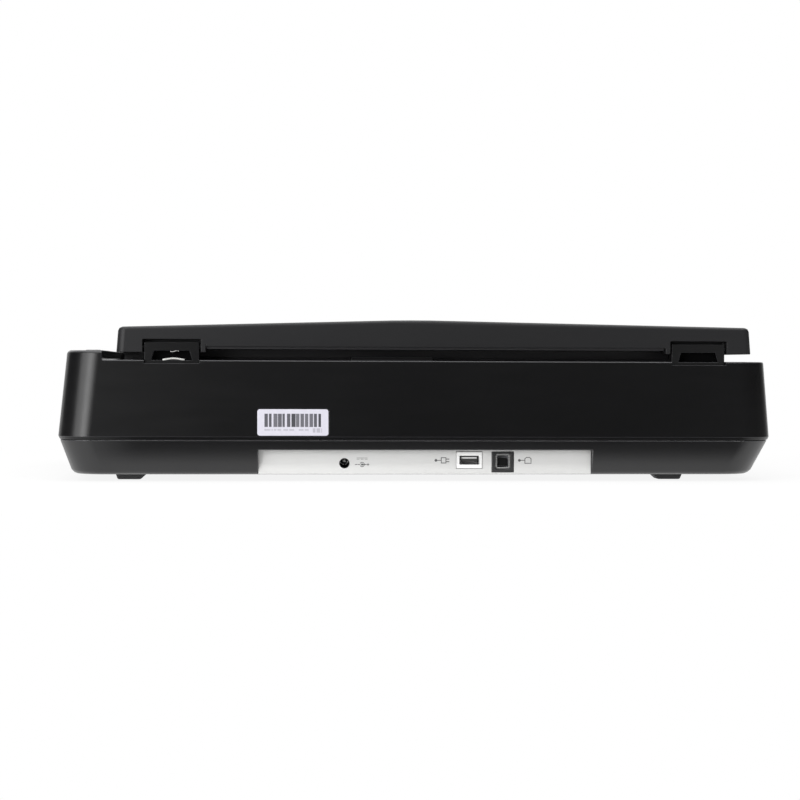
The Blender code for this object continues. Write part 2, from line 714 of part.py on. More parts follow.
def socket_cuts():
    """The gap in the recess wall that the three sockets pass."""
    side = DEVICE_WIDTH
    low = (DEVICE_X - side, RECESS_Y - RECESS_WALL - OVERRUN, FLOOR_TOP)
    high = (POWER_X + side, RECESS_Y + GAP, BOARD_Z + BOARD_THICKNESS)
    return block("socket_cut", low, high)


def tray_bores():
    bores = []
    counter = FOOT_HEIGHT + COUNTERBORE_DEPTH
    for x, y in screw_places():
        bores.append(turned("bore", screw_bore_profile(counter), (x, y, 0), SMALL_SIDES))
    return bores


def tray_pegs():
    """Pegs for the board and the tabs, and the stud that the drive gear turns on."""
    pegs = []
    for x, y in board_peg_places():
        low = (x, y, BOARD_Z - GAP - JOIN)
        pegs.append(cylinder("peg", low, (x, y, BOARD_TOP + PEG_PROUD), PEG_RADIUS, SMALL_SIDES))
    for x, y in tab_peg_places():
        top = FLOOR_TOP + GAP + TAB_THICKNESS + PEG_PROUD
        pegs.append(cylinder("peg", (x, y, FLOOR_TOP - JOIN), (x, y, top), PEG_RADIUS, SMALL_SIDES))
    start = (DRIVE_X, DRIVE_Y, GEAR_BOTTOM - GAP - JOIN)
    stud_top = (DRIVE_X, DRIVE_Y, BELT_HIGH + FLANGE_THICKNESS)
    pegs.append(cylinder("drive_stud", start, stud_top, STUD_RADIUS, SMALL_SIDES))
    return group("tray_pegs", pegs)


def screw_bore_profile(counter):
    """A stepped bore: the wide part takes the screw's head, the narrow one its shank."""
    low = FOOT_HEIGHT - OVERRUN
    high = SEAM_Z + OVERRUN
    return [(0, high), (SCREW_BORE, high), (SCREW_BORE, counter), (COUNTERBORE_RADIUS, counter),
            (COUNTERBORE_RADIUS, low), (0, low)]


def foot_pocket(x, y):
    half = (FOOT_WIDTH / 2 + GAP, FOOT_DEPTH / 2 + GAP)
    low = (x - half[0], y - half[1], FOOT_HEIGHT - OVERRUN)
    return block("foot_pocket", low, (x + half[0], y + half[1], FOOT_HEIGHT + FOOT_POCKET))


def lock_cuts():
    """A shallow recess under the tray for the lock's plate, and the slot that its stem runs in."""
    half = LOCK_PLATE / 2 + SLIDE_GAP
    low = (LOCK_X - half, LOCK_Y - half - LOCK_TRAVEL, FOOT_HEIGHT - OVERRUN)
    recess = block("lock_recess", low, (LOCK_X + half, LOCK_Y + half, FOOT_HEIGHT + LOCK_RECESS))
    stem = LOCK_STEM / 2 + SLIDE_GAP
    low = (LOCK_X - stem, LOCK_Y - stem - LOCK_TRAVEL, FOOT_HEIGHT)
    slot = block("lock_slot", low, (LOCK_X + stem, LOCK_Y + stem, FLOOR_TOP + OVERRUN))
    return recess, slot


def lower_housing():
    edge = FOOT_HEIGHT + TRAY_EDGE
    half_edge = TRAY_EDGE * (1 - math.sin(math.pi / 4))
    rings = [
        ring(tray_box(FOOT_HEIGHT, TRAY_EDGE), CORNER_RADIUS - TRAY_EDGE, FOOT_HEIGHT),
        ring(tray_box(FOOT_HEIGHT, half_edge), CORNER_RADIUS - half_edge, FOOT_HEIGHT + half_edge),
        ring(tray_box(edge), CORNER_RADIUS, edge),
        ring(tray_box(SEAM_Z), CORNER_RADIUS, SEAM_Z),
    ]
    tray = cut(loft("lower_housing", rings), tray_cavity())
    low = (PANEL_X[0], RECESS_Y, FOOT_HEIGHT - OVERRUN)
    cut(tray, block("panel_recess", low, (PANEL_X[1], REAR + OVERRUN, PANEL_TOP_Z)))
    cut(tray, socket_cuts())
    pockets = [foot_pocket(x, y) for x, y in foot_places()]
    recess, slot = lock_cuts()
    cut(tray, group("tray_bores", tray_bores() + pockets + [recess]))
    cut(tray, slot)
    join(tray, tray_pegs())
    return paint(tray, BLACK)


# Cover

def cover_keepers():
    """What stays solid inside the cover: screw bosses, hinge wells and the ledge under the glass."""
    keepers = []
    for x, y in screw_places():
        low = (x, y, SEAM_Z + GAP)
        keepers.append(cylinder("boss", low, (x, y, TOP_Z), BOSS_RADIUS, SMALL_SIDES))
    for x in HINGES.values():
        half = HINGE_WIDTH / 2 + SLIDE_GAP + WELL_WALL
        depth = HINGE_THICKNESS / 2 + SLIDE_GAP + WELL_WALL
        low = (x - half, PIVOT_Y - depth, WELL_BOTTOM - WELL_WALL)
        keepers.append(block("well", low, (x + half, PIVOT_Y + depth, TOP_Z)))
    low = (WINDOW_X[0] - LEDGE_WIDTH, WINDOW_Y[0] - LEDGE_WIDTH, LEDGE_BOTTOM)
    high = (WINDOW_X[1] + LEDGE_WIDTH, WINDOW_Y[1] + LEDGE_WIDTH, TOP_Z)
    keepers.append(block("ledge", low, high))
    return group("cover_keepers", keepers)


def cover_cavity():
    low = SEAM_Z - OVERRUN
    radius = CORNER_RADIUS - WALL
    rings = [ring(cover_box(z, WALL), radius, z) for z in (low, CEILING_Z)]
    return cut(loft("cover_cavity", rings), cover_keepers())


def window_cuts():
    """The pocket that takes glass and bezel, and the window through the ledge."""
    lap = GLASS_LAP + GAP
    low = (WINDOW_X[0] - lap, WINDOW_Y[0] - lap, LEDGE_TOP)
    pocket = block("glass_pocket", low, (WINDOW_X[1] + lap, WINDOW_Y[1] + lap, TOP_Z + OVERRUN))
    low = (WINDOW_X[0], WINDOW_Y[0], LEDGE_BOTTOM - OVERRUN)
    return pocket, block("window", low, (WINDOW_X[1], WINDOW_Y[1], LEDGE_TOP + JOIN))


def hinge_well_cut(x):
    """A slot for the leg, and a shallow notch through the rear wall beside it."""
    half = HINGE_WIDTH / 2 + SLIDE_GAP
    depth = HINGE_THICKNESS / 2 + SLIDE_GAP
    top = TOP_Z + OVERRUN
    slot = block("well_slot", (x - half, PIVOT_Y - depth, WELL_BOTTOM), (x + half, PIVOT_Y + depth, top))
    low = (x - half, PIVOT_Y, TOP_Z - REAR_NOTCH_DEPTH)
    return slot, block("rear_notch", low, (x + half, REAR, top))


def band_cavity():
    x_low = BAND_X + WALL
    x_high = RIGHT - COVER_INSET_RIGHT - WALL - JOIN - BAND_EDGE
    low = (x_low, CONTROL_Y[0] - WALL, CEILING_Z - OVERRUN)
    return block("band_cavity", low, (x_high, CONTROL_Y[1] + WALL, BAND_CEILING))


def button_holes():
    """Holes through the band for the buttons."""
    top = BAND_TOP + OVERRUN
    low = BAND_CEILING - JOIN
    start = (CONTROL_X, POWER_BUTTON_Y, low)
    radius = POWER_BUTTON_RADIUS + SLIDE_GAP
    holes = [cylinder("hole", start, (CONTROL_X, POWER_BUTTON_Y, top), radius)]
    for y in BUTTON_Y:
        holes.append(key_block("hole", y, low, top, SLIDE_GAP))
    return group("button_holes", holes)


def key_block(name, y, low, high, grow=0):
    half_x = BUTTON_WIDTH / 2 + grow
    half_y = BUTTON_LENGTH / 2 + grow
    return block(name, (CONTROL_X - half_x, y - half_y, low), (CONTROL_X + half_x, y + half_y, high))


def control_recess():
    half = CONTROL_WIDTH / 2 + GAP
    low = (CONTROL_X - half, CONTROL_Y[0] - GAP, CONTROL_FLOOR)
    return block("control_recess", low, (CONTROL_X + half, CONTROL_Y[1] + GAP, BAND_TOP + OVERRUN))


def cover_bores():
    bores = []
    for x, y in screw_places():
        top = SEAM_Z + SCREW_LENGTH
        bores.append(cylinder("bore", (x, y, SEAM_Z - OVERRUN), (x, y, top), SCREW_BORE, SMALL_SIDES))
    return group("cover_bores", bores)


def cover_outside():
    z_low = SEAM_Z + GAP
    soft = BAND_EDGE * (1 - math.sin(math.pi / 4))
    rings = [
        ring(cover_box(WIDEST_Z, RIM_STEP), CORNER_RADIUS - RIM_STEP, z_low),
        ring(cover_box(WIDEST_Z), CORNER_RADIUS, WIDEST_Z),
        ring(cover_box(TOP_Z), CORNER_RADIUS, TOP_Z),
        ring(cover_box(BAND_TOP - BAND_EDGE), CORNER_RADIUS, BAND_TOP - BAND_EDGE),
        ring(cover_box(BAND_TOP, soft), CORNER_RADIUS - soft, BAND_TOP - soft),
        ring(cover_box(BAND_TOP, BAND_EDGE), CORNER_RADIUS - BAND_EDGE, BAND_TOP),
    ]
    return loft("upper_housing", rings)


def upper_housing():
    cover = cut(cover_outside(), cover_cavity())
    low = (-RIGHT - OVERRUN, -REAR - OVERRUN, TOP_Z)
    cut(cover, block("over_the_bed", low, (BAND_X - TOE_WIDTH, REAR + OVERRUN, BAND_TOP + OVERRUN)))
    low = (BAND_X - TOE_WIDTH - JOIN, -REAR + TOE_DEPTH, TOP_Z)
    cut(cover, block("behind_the_toe", low, (BAND_X, REAR + OVERRUN, BAND_TOP + OVERRUN)))
    cut(cover, band_cavity())
    pocket, window = window_cuts()
    cut(cover, pocket)
    cut(cover, window)
    for x in HINGES.values():
        for tool in hinge_well_cut(x):
            cut(cover, tool)
    cut(cover, cover_bores())
    cut(cover, control_recess())
    cut(cover, button_holes())
    cut(cover, label_slip("label_recess", GAP, LABEL_THICKNESS + GAP, OVERRUN))
    join(cover, key_board_posts())
    join(cover, rear_stop())
    return paint(cover, BLACK)


def key_board_posts():
    """Posts under the band that hold the button board."""
    posts = []
    for y in (BUTTON_Y[0] + BUTTON_PITCH / 2, POST_Y, CONTROL_Y[1] - WALL):
        start = (CONTROL_X, y, KEY_BOARD_TOP + GAP)
        posts.append(cylinder("post", start, (CONTROL_X, y, BAND_CEILING + JOIN), STUD_BORE, SMALL_SIDES))
    return group("key_board_posts", posts)


def rear_stop():
    """A low pad on the top face, near the rear edge."""
    y = REAR - COVER_INSET_END - STOP_FROM_EDGE
    low = (STOP_FROM_MIDDLE - STOP_WIDTH / 2, y - STOP_DEPTH, TOP_Z - JOIN)
    return block("rear_stop", low, (STOP_FROM_MIDDLE + STOP_WIDTH / 2, y, TOP_Z + STOP_HEIGHT))


# Platen

def platen_glass():
    lap = GLASS_LAP
    low = (WINDOW_X[0] - lap, WINDOW_Y[0] - lap, GLASS_TOP - GLASS_THICKNESS)
    return paint(block("platen_glass", low, (WINDOW_X[1] + lap, WINDOW_Y[1] + lap, GLASS_TOP)), GLASS)


def platen_bezel():
    lap = GLASS_LAP
    low = (WINDOW_X[0] - lap, WINDOW_Y[0] - lap, GLASS_TOP + GAP)
    frame = block("platen_bezel", low, (WINDOW_X[1] + lap, WINDOW_Y[1] + lap, TOP_Z))
    low = (WINDOW_X[0], WINDOW_Y[0], GLASS_TOP)
    cut(frame, block("bezel_window", low, (WINDOW_X[1], WINDOW_Y[1], TOP_Z + OVERRUN)))
    return paint(frame, DARK_INNER)


def calibration_strip():
    low = (WINDOW_X[1] + GAP, WINDOW_Y[0], STRIP_BOTTOM)
    return paint(block("calibration_strip", low, (WINDOW_X[1] + STRIP_WIDTH, WINDOW_Y[1], STRIP_TOP)), WHITE)


# Connector panel and sockets

def connector_panel():
    low = (PANEL_X[0] + GAP, PANEL_Y - PLATE_THICKNESS, FOOT_HEIGHT + GAP)
    plate = block("connector_panel", low, (PANEL_X[1] - GAP, PANEL_Y, PANEL_TOP_Z - GAP))
    z = FOOT_HEIGHT + POWER_HEIGHT
    start = (POWER_X, PANEL_Y - PLATE_THICKNESS - OVERRUN, z)
    holes = [cylinder("hole", start, (POWER_X, PANEL_Y + OVERRUN, z), POWER_SNOUT_RADIUS + GAP)]
    for x, width, height in ((HOST_X, HOST_WIDTH, HOST_HEIGHT), (DEVICE_X, DEVICE_WIDTH, DEVICE_HEIGHT)):
        low = (x - width / 2 - GAP, PANEL_Y - PLATE_THICKNESS - OVERRUN, SOCKET_TOP - height - GAP)
        holes.append(block("hole", low, (x + width / 2 + GAP, PANEL_Y + OVERRUN, SOCKET_TOP + GAP)))
    return paint(cut(plate, group("panel_holes", holes)), GREY_PANEL)


def dc_jack():
    z = FOOT_HEIGHT + POWER_HEIGHT
    front = PANEL_Y - PLATE_THICKNESS - GAP
    low = (POWER_X - POWER_WIDTH / 2, PANEL_Y - POWER_LENGTH, FLOOR_TOP + GAP)
    body = block("dc_jack", low, (POWER_X + POWER_WIDTH / 2, front, SOCKET_TOP))
    start = (POWER_X, front - JOIN, z)
    join(body, cylinder("snout", start, (POWER_X, PANEL_Y + SOCKET_PROUD, z), POWER_SNOUT_RADIUS))
    back = PANEL_Y - POWER_LENGTH + WALL
    end = (POWER_X, PANEL_Y + OVERRUN, z)
    cut(body, cylinder("power_bore", (POWER_X, back, z), end, POWER_BORE_RADIUS))
    tip = (POWER_X, PANEL_Y - JOIN, z)
    join(body, cylinder("power_pin", (POWER_X, back - JOIN, z), tip, POWER_PIN_RADIUS, SMALL_SIDES))
    return paint(body, BLACK)


def usb_host_port():
    half = HOST_WIDTH / 2
    front = PANEL_Y + SOCKET_PROUD
    bottom = SOCKET_TOP - HOST_HEIGHT
    low = (HOST_X - half, front - HOST_LENGTH, bottom)
    shell = block("usb_host_port", low, (HOST_X + half, front, SOCKET_TOP))
    middle = (SOCKET_TOP + bottom) / 2
    half_x = HOST_OPENING_WIDTH / 2
    half_z = HOST_OPENING_HEIGHT / 2
    low = (HOST_X - half_x, front - HOST_DEPTH, middle - half_z)
    cut(shell, block("host_opening", low, (HOST_X + half_x, front + OVERRUN, middle + half_z)))
    half = HOST_TONGUE_WIDTH / 2
    low = (HOST_X - half, front - HOST_DEPTH - JOIN, middle)
    high = (HOST_X + half, front - TONGUE_SETBACK, middle + HOST_TONGUE_THICKNESS)
    join(shell, block("host_tongue", low, high))
    return paint(shell, WHITE)


def usb_device_port():
    """A black block: its face fills the panel's hole, its body reaches back under the board."""
    half = DEVICE_WIDTH / 2
    front = PANEL_Y + SOCKET_PROUD
    plate = PANEL_Y - PLATE_THICKNESS
    low = (DEVICE_X - half, plate, SOCKET_TOP - DEVICE_HEIGHT)
    face = block("usb_device_port", low, (DEVICE_X + half, front, SOCKET_TOP))
    low = (DEVICE_X - half, front - DEVICE_LENGTH, FLOOR_TOP + GAP)
    join(face, block("device_body", low, (DEVICE_X + half, plate + JOIN, SOCKET_TOP)))
    grow = GAP
    cut(face, shell_block("device_opening", SHELL_DEPTH + GAP, grow, front + OVERRUN))
    return paint(face, BLACK)


def shell_middle():
    return (SOCKET_TOP + FLOOR_TOP) / 2


def shell_block(name, depth, grow, front):
    back = PANEL_Y + SOCKET_PROUD - depth
    half_x = SHELL_WIDTH / 2 + grow
    half_z = SHELL_HEIGHT / 2 + grow
    middle = shell_middle()
    low = (DEVICE_X - half_x, back, middle - half_z)
    return block(name, low, (DEVICE_X + half_x, front, middle + half_z))


def usb_device_shell():
    front = PANEL_Y + SOCKET_PROUD
    shell = shell_block("usb_device_shell", SHELL_DEPTH, 0, front)
    cut(shell, shell_block("shell_opening", SHELL_DEPTH - WALL, -SHELL_WALL, front + OVERRUN))
    half_x = DEVICE_TONGUE_WIDTH / 2
    half_z = DEVICE_TONGUE_HEIGHT / 2
    low = (DEVICE_X - half_x, front - SHELL_DEPTH + WALL - JOIN, shell_middle() - half_z)
    high = (DEVICE_X + half_x, front - TONGUE_SETBACK, shell_middle() + half_z)
    join(shell, block("device_tongue", low, high))
    return paint(shell, STEEL)


def label_slip(name, grow, deep, proud):
    """A rounded slip parallel to the sloping rear wall, from deep inside it to proud of it."""
    slope = math.atan(COVER_INSET_END / (TOP_Z - WIDEST_Z))
    middle_z = WIDEST_Z + LABEL_FROM_SEAM + LABEL_HEIGHT / 2 * math.cos(slope)
    wall_y = cover_box(middle_z)[3]
    reach = (proud - deep) / 2
    x = LABEL_WIDTH / 2 + grow
    y = LABEL_HEIGHT / 2 + grow
    points = [(point[0], point[1]) for point in ring((-x, x, -y, y), LABEL_CORNER + grow, 0)]
    centre = (LABEL_X, wall_y + reach * math.cos(slope), middle_z + reach * math.sin(slope))
    return extruded(name, [points], proud + deep, centre, (math.pi / 2 + slope, 0, 0))


def rear_label():
    return paint(label_slip("rear_label", 0, LABEL_THICKNESS, 0), WHITE)


# Boards

def main_board():
    low = (BOARD_X[0], BOARD_Y[0], BOARD_Z)
    board = block("main_board", low, (BOARD_X[1], BOARD_Y[1], BOARD_TOP))
    holes = []
    for x, y in board_peg_places():
        start = (x, y, BOARD_Z - OVERRUN)
        holes.append(cylinder("hole", start, (x, y, BOARD_TOP + OVERRUN), PEG_BORE, SMALL_SIDES))
    cut(board, group("board_holes", holes))
    join(board, board_parts())
    return paint(board, BOARD_GREEN)


def board_parts():
    """Chips on top, and the flat cable's socket below, as shares of the board."""
    chip_shares = ((-0.62, 0.50, 0.12, 0.34), (-0.10, 0.46, 0.15, 0.40), (0.40, 0.60, 0.10, 0.22))
    parts = []
    for x_share, y_share, half_share, depth_share in chip_shares:
        x = BOARD_MIDDLE + BOARD_HALF * x_share
        y = BOARD_Y[0] + BOARD_DEPTH * y_share
        half = BOARD_HALF * half_share
        depth = BOARD_DEPTH * depth_share / 2
        low = (x - half, y - depth, BOARD_TOP - JOIN)
        parts.append(block("chip", low, (x + half, y + depth, BOARD_TOP + CHIP_HEIGHT)))
    half = RIBBON_WIDTH / 2 + GAP
    low = (BOARD_MIDDLE - half, BOARD_Y[0], BOARD_Z - RIBBON_SOCKET)
    high = (BOARD_MIDDLE + half, BOARD_Y[0] + RIBBON_SOCKET, BOARD_Z + JOIN)
    parts.append(block("ribbon_socket", low, high))
    return group("board_parts", parts)


def button_board():
    half = CONTROL_WIDTH / 2
    low = (CONTROL_X - half, CONTROL_Y[0], KEY_BOARD_TOP - KEY_BOARD_THICKNESS)
    board = block("button_board", low, (CONTROL_X + half, CONTROL_Y[1], KEY_BOARD_TOP))
    half = SWITCH_SIZE / 2
    switches = []
    for y in BUTTON_Y + [POWER_BUTTON_Y]:
        low = (CONTROL_X - half, y - half, KEY_BOARD_TOP - JOIN)
        switches.append(block("switch", low, (CONTROL_X + half, y + half, SWITCH_TOP)))
    join(board, group("switches", switches))
    return paint(board, BOARD_GREEN)


# Control panel and buttons

def control_panel():
    half = CONTROL_WIDTH / 2
    low = (CONTROL_X - half, CONTROL_Y[0], CONTROL_FLOOR + GAP)
    plate = block("control_panel", low, (CONTROL_X + half, CONTROL_Y[1], BAND_TOP))
    return paint(cut(plate, button_holes()), DARK_INNER)


def button(name, y, is_round):
    """A cap through the band, with a lip under it and a stem over its switch."""
    top = BAND_TOP + BUTTON_PROUD
    lip_low = LIP_TOP - BUTTON_LIP_THICKNESS
    centre = (CONTROL_X, y, top)
    if is_round:
        cap = cylinder(name, (CONTROL_X, y, LIP_TOP - JOIN), centre, POWER_BUTTON_RADIUS)
        radius = POWER_BUTTON_RADIUS + BUTTON_LIP
        join(cap, cylinder("lip", (CONTROL_X, y, lip_low), (CONTROL_X, y, LIP_TOP), radius))
    else:
        cap = key_block(name, y, LIP_TOP - JOIN, top)
        join(cap, key_block("lip", y, lip_low, LIP_TOP, BUTTON_LIP))
    stem_top = (CONTROL_X, y, lip_low + JOIN)
    join(cap, cylinder("stem", (CONTROL_X, y, STEM_BOTTOM), stem_top, BUTTON_STEM, SMALL_SIDES))
    attach(axis_empty(name + "_axis", centre), cap)
    return paint(cap, GREY_PLASTIC)


# Feet and screws

def foot_places():
    y = REAR - FOOT_FROM_END
    return [(x, side * y) for x in (-RIGHT + FOOT_FROM_LEFT, RIGHT - FOOT_FROM_RIGHT) for side in (-1, 1)]


def rubber_foot(name, x, y):
    """A rubber block whose inner side slants more than its outer one."""
    outer = math.copysign(1, x)
    taper_high = FOOT_TAPER_OUTER if outer > 0 else FOOT_TAPER_INNER
    taper_low = FOOT_TAPER_INNER if outer > 0 else FOOT_TAPER_OUTER
    half = FOOT_WIDTH / 2
    depth = FOOT_DEPTH / 2
    top_box = (x - half, x + half, y - depth, y + depth)
    end = depth - FOOT_TAPER_END
    low_box = (x - half + taper_low, x + half - taper_high, y - end, y + end)
    radius = FOOT_TAPER_END
    rings = [
        ring(low_box, radius, 0),
        ring(top_box, radius, FOOT_HEIGHT),
        ring(top_box, radius, FOOT_HEIGHT + FOOT_POCKET - GAP),
    ]
    return paint(loft(name, rings), RUBBER)


def housing_screw(name, x, y):
    """A pan head screw, driven from below: its head lies under its shank."""
    top = SCREW_HEAD_HEIGHT + SCREW_LENGTH
    profile = [(0, top), (SCREW_RADIUS, top), (SCREW_RADIUS, SCREW_HEAD_HEIGHT),
               (SCREW_HEAD_RADIUS, SCREW_HEAD_HEIGHT), (SCREW_HEAD_RADIUS, 0), (0, 0)]
    head_z = FOOT_HEIGHT + COUNTERBORE_DEPTH - GAP - SCREW_HEAD_HEIGHT
    return paint(turned(name, profile, (x, y, head_z), SMALL_SIDES), STEEL)


# Lid

def lid_box(z, inset=0):
    """The lid's outline: its ends lean out towards the bottom."""
    lean = LID_LEAN * (z - LID_BOTTOM) / (RIDGE_Z - LID_BOTTOM)
    return LID_X[0] + lean + inset, LID_X[1] - lean - inset, LID_Y[0] + inset, LID_Y[1] - inset


def roof_line(drop):
    """Points of the roof from left to right, lowered by drop, with a soft ridge."""
    left_z = TOP_Z + ROOF_RISE_LEFT - drop
    right_z = TOP_Z + ROOF_RISE_RIGHT - drop
    top_z = RIDGE_Z - drop
    slope_left = (top_z - left_z) / (RIDGE_X - LID_X[0])
    slope_right = (right_z - top_z) / (LID_X[1] - RIDGE_X)
    points = [(LID_X[0] - OVERRUN, left_z - slope_left * OVERRUN)]
    for step in range(5):
        share = step / 2 - 1
        x = RIDGE_X + RIDGE_BLEND * share
        bend = (slope_right - slope_left) * RIDGE_BLEND / 4
        z = top_z + (slope_left + slope_right) / 2 * RIDGE_BLEND * share + bend * share * share
        points.append((x, z))
    points.append((LID_X[1] + OVERRUN, right_z + slope_right * OVERRUN))
    return points


def over_roof(name, drop):
    """A cutter that takes away everything over the roof line."""
    high = RIDGE_Z + 2 * OVERRUN
    points = roof_line(drop)
    outline = points + [(points[-1][0], high), (points[0][0], high)]
    centre = (0, (LID_Y[0] + LID_Y[1]) / 2, 0)
    width = LID_Y[1] - LID_Y[0] + 2 * OVERRUN
    return extruded(name, [outline], width, centre, (math.pi / 2, 0, 0))


def lid_block(name, inset, radius):
    low = TOP_Z - LID_EDGE
    high = RIDGE_Z + OVERRUN
    return loft(name, [ring(lid_box(z, inset), radius, z) for z in (low, high)])


def ear_spans():
    """Where along X the lid's ears stand, on each side of each hinge."""
    reach = NOTCH_WIDTH / 2 + EAR_WIDTH
    return [(x - reach, x + reach) for x in HINGES.values()]


def ear_keepers():
    depth = 2 * PIVOT_INSET + LID_WALL
    blocks = []
    for x_low, x_high in ear_spans():
        low = (x_low, LID_Y[1] - depth, LID_BOTTOM - OVERRUN)
        blocks.append(block("ears", low, (x_high, LID_Y[1], RIDGE_Z)))
    return group("ear_keepers", blocks)


def lid_notches():
    """Notches for the hinge legs."""
    depth = 2 * PIVOT_INSET
    notches = []
    for x in HINGES.values():
        half = NOTCH_WIDTH / 2
        low = (x - half, LID_Y[1] - depth, TOP_Z - OVERRUN)
        notches.append(block("notch", low, (x + half, LID_Y[1] + OVERRUN, TOP_Z + NOTCH_RISE)))
    return group("lid_notches", notches)


def skirt_cuts():
    """The rear skirt is shorter between the hinges, and the front one has a finger grip."""
    left, right = sorted(HINGES.values())
    half = NOTCH_WIDTH / 2 + EAR_WIDTH
    y = LID_Y[1] - LID_WALL - GAP
    low = (left + half, y, TOP_Z - OVERRUN)
    rear = block("rear_skirt_cut", low, (right - half, LID_Y[1] + OVERRUN, TOP_Z + REAR_SKIRT_RISE))
    low = (LID_MIDDLE - GRIP_WIDTH / 2, LID_Y[0] - OVERRUN, TOP_Z - OVERRUN)
    high = (LID_MIDDLE + GRIP_WIDTH / 2, LID_Y[0] + LID_WALL + GAP, LID_BOTTOM + GRIP_HEIGHT)
    return group("skirt_cuts", [rear, block("grip_cut", low, high)])


def pin_span(x):
    reach = NOTCH_WIDTH / 2 + EAR_WIDTH - GAP
    return (x - reach, PIVOT_Y, PIVOT_Z), (x + reach, PIVOT_Y, PIVOT_Z)


def pin_bores(grow):
    bores = []
    for x in HINGES.values():
        start, end = pin_span(x)
        bores.append(cylinder("pin_bore", start, end, PIN_RADIUS + grow, SMALL_SIDES))
    return group("pin_bores", bores)


def lid_shell():
    shell = lid_block("lid_shell", 0, LID_CORNER)
    cut(shell, over_roof("over_roof", 0))
    soft = shell.modifiers.new("soft_edge", "BEVEL")
    soft.width = LID_EDGE
    soft.segments = LID_EDGE_STEPS
    soft.limit_method = "ANGLE"
    soft.angle_limit = 40 * DEGREE
    low = (LID_X[0] - OVERRUN, LID_Y[0] - OVERRUN, TOP_Z - 2 * OVERRUN)
    cut(shell, block("under_lid", low, (LID_X[1] + OVERRUN, LID_Y[1] + OVERRUN, LID_BOTTOM)))
    cavity = lid_block("lid_cavity", LID_WALL, LID_CORNER - LID_WALL)
    cut(cavity, over_roof("over_ceiling", LID_WALL))
    cut(cavity, ear_keepers())
    cut(shell, cavity)
    cut(shell, lid_notches())
    cut(shell, skirt_cuts())
    cut(shell, pin_bores(GAP))
    return paint(shell, LID_BLACK)


def mat_spans():
    """The white sheet's edges in X and Y: a little less than the window."""
    x = (WINDOW_X[0] + MAT_MARGIN, WINDOW_X[1] - MAT_MARGIN)
    y = (WINDOW_Y[0] + MAT_MARGIN, WINDOW_Y[1] - MAT_MARGIN)
    return x, y


def mat_block(name, low_z, high_z, grow):
    x, y = mat_spans()
    return block(name, (x[0] - grow, y[0] - grow, low_z), (x[1] + grow, y[1] + grow, high_z))


def light_rim(high_z):
    """A thin rim round the whole window that hangs down to the cover's top face."""
    x_low = LID_X[0] + LIGHT_RIM_FROM_LEFT
    x_high = LID_X[1] - LIGHT_RIM_FROM_RIGHT
    y_low = LID_Y[0] + LIGHT_RIM_FROM_FRONT
    y_high = LID_Y[1] - LIGHT_RIM_FROM_REAR
    rim = block("light_rim", (x_low, y_low, TOP_Z + GAP), (x_high, y_high, high_z + JOIN))
    low = (x_low + LIGHT_RIM, y_low + LIGHT_RIM, TOP_Z - OVERRUN)
    return cut(rim, block("rim_room", low, (x_high - LIGHT_RIM, y_high - LIGHT_RIM, high_z)))


def lid_inner_panel():
    """A plate that closes the lid from below, with a rib round the mat and a rim round the window."""
    low_z = TOP_Z + PANEL_RISE
    inset = LID_WALL + GAP
    box = lid_box(low_z, inset)
    rings = [ring(box, LID_CORNER - LID_WALL, z) for z in (low_z, low_z + PANEL_THICKNESS)]
    plate = loft("lid_inner_panel", rings)
    rib = mat_block("mat_rib", low_z - PANEL_RIB_HEIGHT, low_z + JOIN, MAT_TO_RIB + PANEL_THICKNESS)
    cut(rib, mat_block("mat_room", low_z - PANEL_RIB_HEIGHT - OVERRUN, low_z, MAT_TO_RIB))
    join(plate, rib)
    join(plate, light_rim(low_z))
    rooms = []
    depth = 2 * PIVOT_INSET + LID_WALL + GAP
    for x_low, x_high in ear_spans():
        low = (x_low - GAP, LID_Y[1] - depth, low_z - OVERRUN)
        rooms.append(block("ear_room", low, (x_high + GAP, REAR, low_z + OVERRUN)))
    cut(plate, group("ear_rooms", rooms))
    return paint(plate, DARK_INNER)


def document_mat():
    low = GLASS_TOP + GAP + SHEET_THICKNESS + GAP
    return paint(mat_block("document_mat", low, TOP_Z + PANEL_RISE - GAP, 0), DARK_INNER)


def mat_sheet():
    low = GLASS_TOP + GAP
    return paint(mat_block("mat_sheet", low, low + SHEET_THICKNESS, 0), WHITE)


# Hinges

def hinge_leg(side):
    """A crossbar on two posts, over a plate that stands in the well."""
    half = HINGE_WIDTH / 2
    top = PIVOT_Z + CROSSBAR_HEIGHT / 2
    sill = TOP_Z - GAP
    bar = PIVOT_Z - CROSSBAR_HEIGHT / 2
    outer = [(-half, LEG_BOTTOM), (half, LEG_BOTTOM), (half, top), (-half, top)]
    low_x = half - POST_WIDTH_LOW
    high_x = half - POST_WIDTH_TOP
    window = [(-low_x, sill), (low_x, sill), (high_x, bar), (-high_x, bar)]
    centre = (HINGES[side], PIVOT_Y, 0)
    return extruded("hinge_leg_" + side, [outer, window], HINGE_THICKNESS, centre, (math.pi / 2, 0, 0))


def hinge_pin(side):
    start, end = pin_span(HINGES[side])
    inset = Vector((GAP, 0, 0))
    pin = cylinder("hinge_pin_" + side, Vector(start) + inset, Vector(end) - inset, PIN_RADIUS, SMALL_SIDES)
    return paint(pin, DARK_INNER)


def hinges():
    legs = []
    for side in HINGES:
        leg = cut(hinge_leg(side), pin_bores(GAP))
        legs.append(paint(leg, DARK_INNER))
    return legs


# Carriage

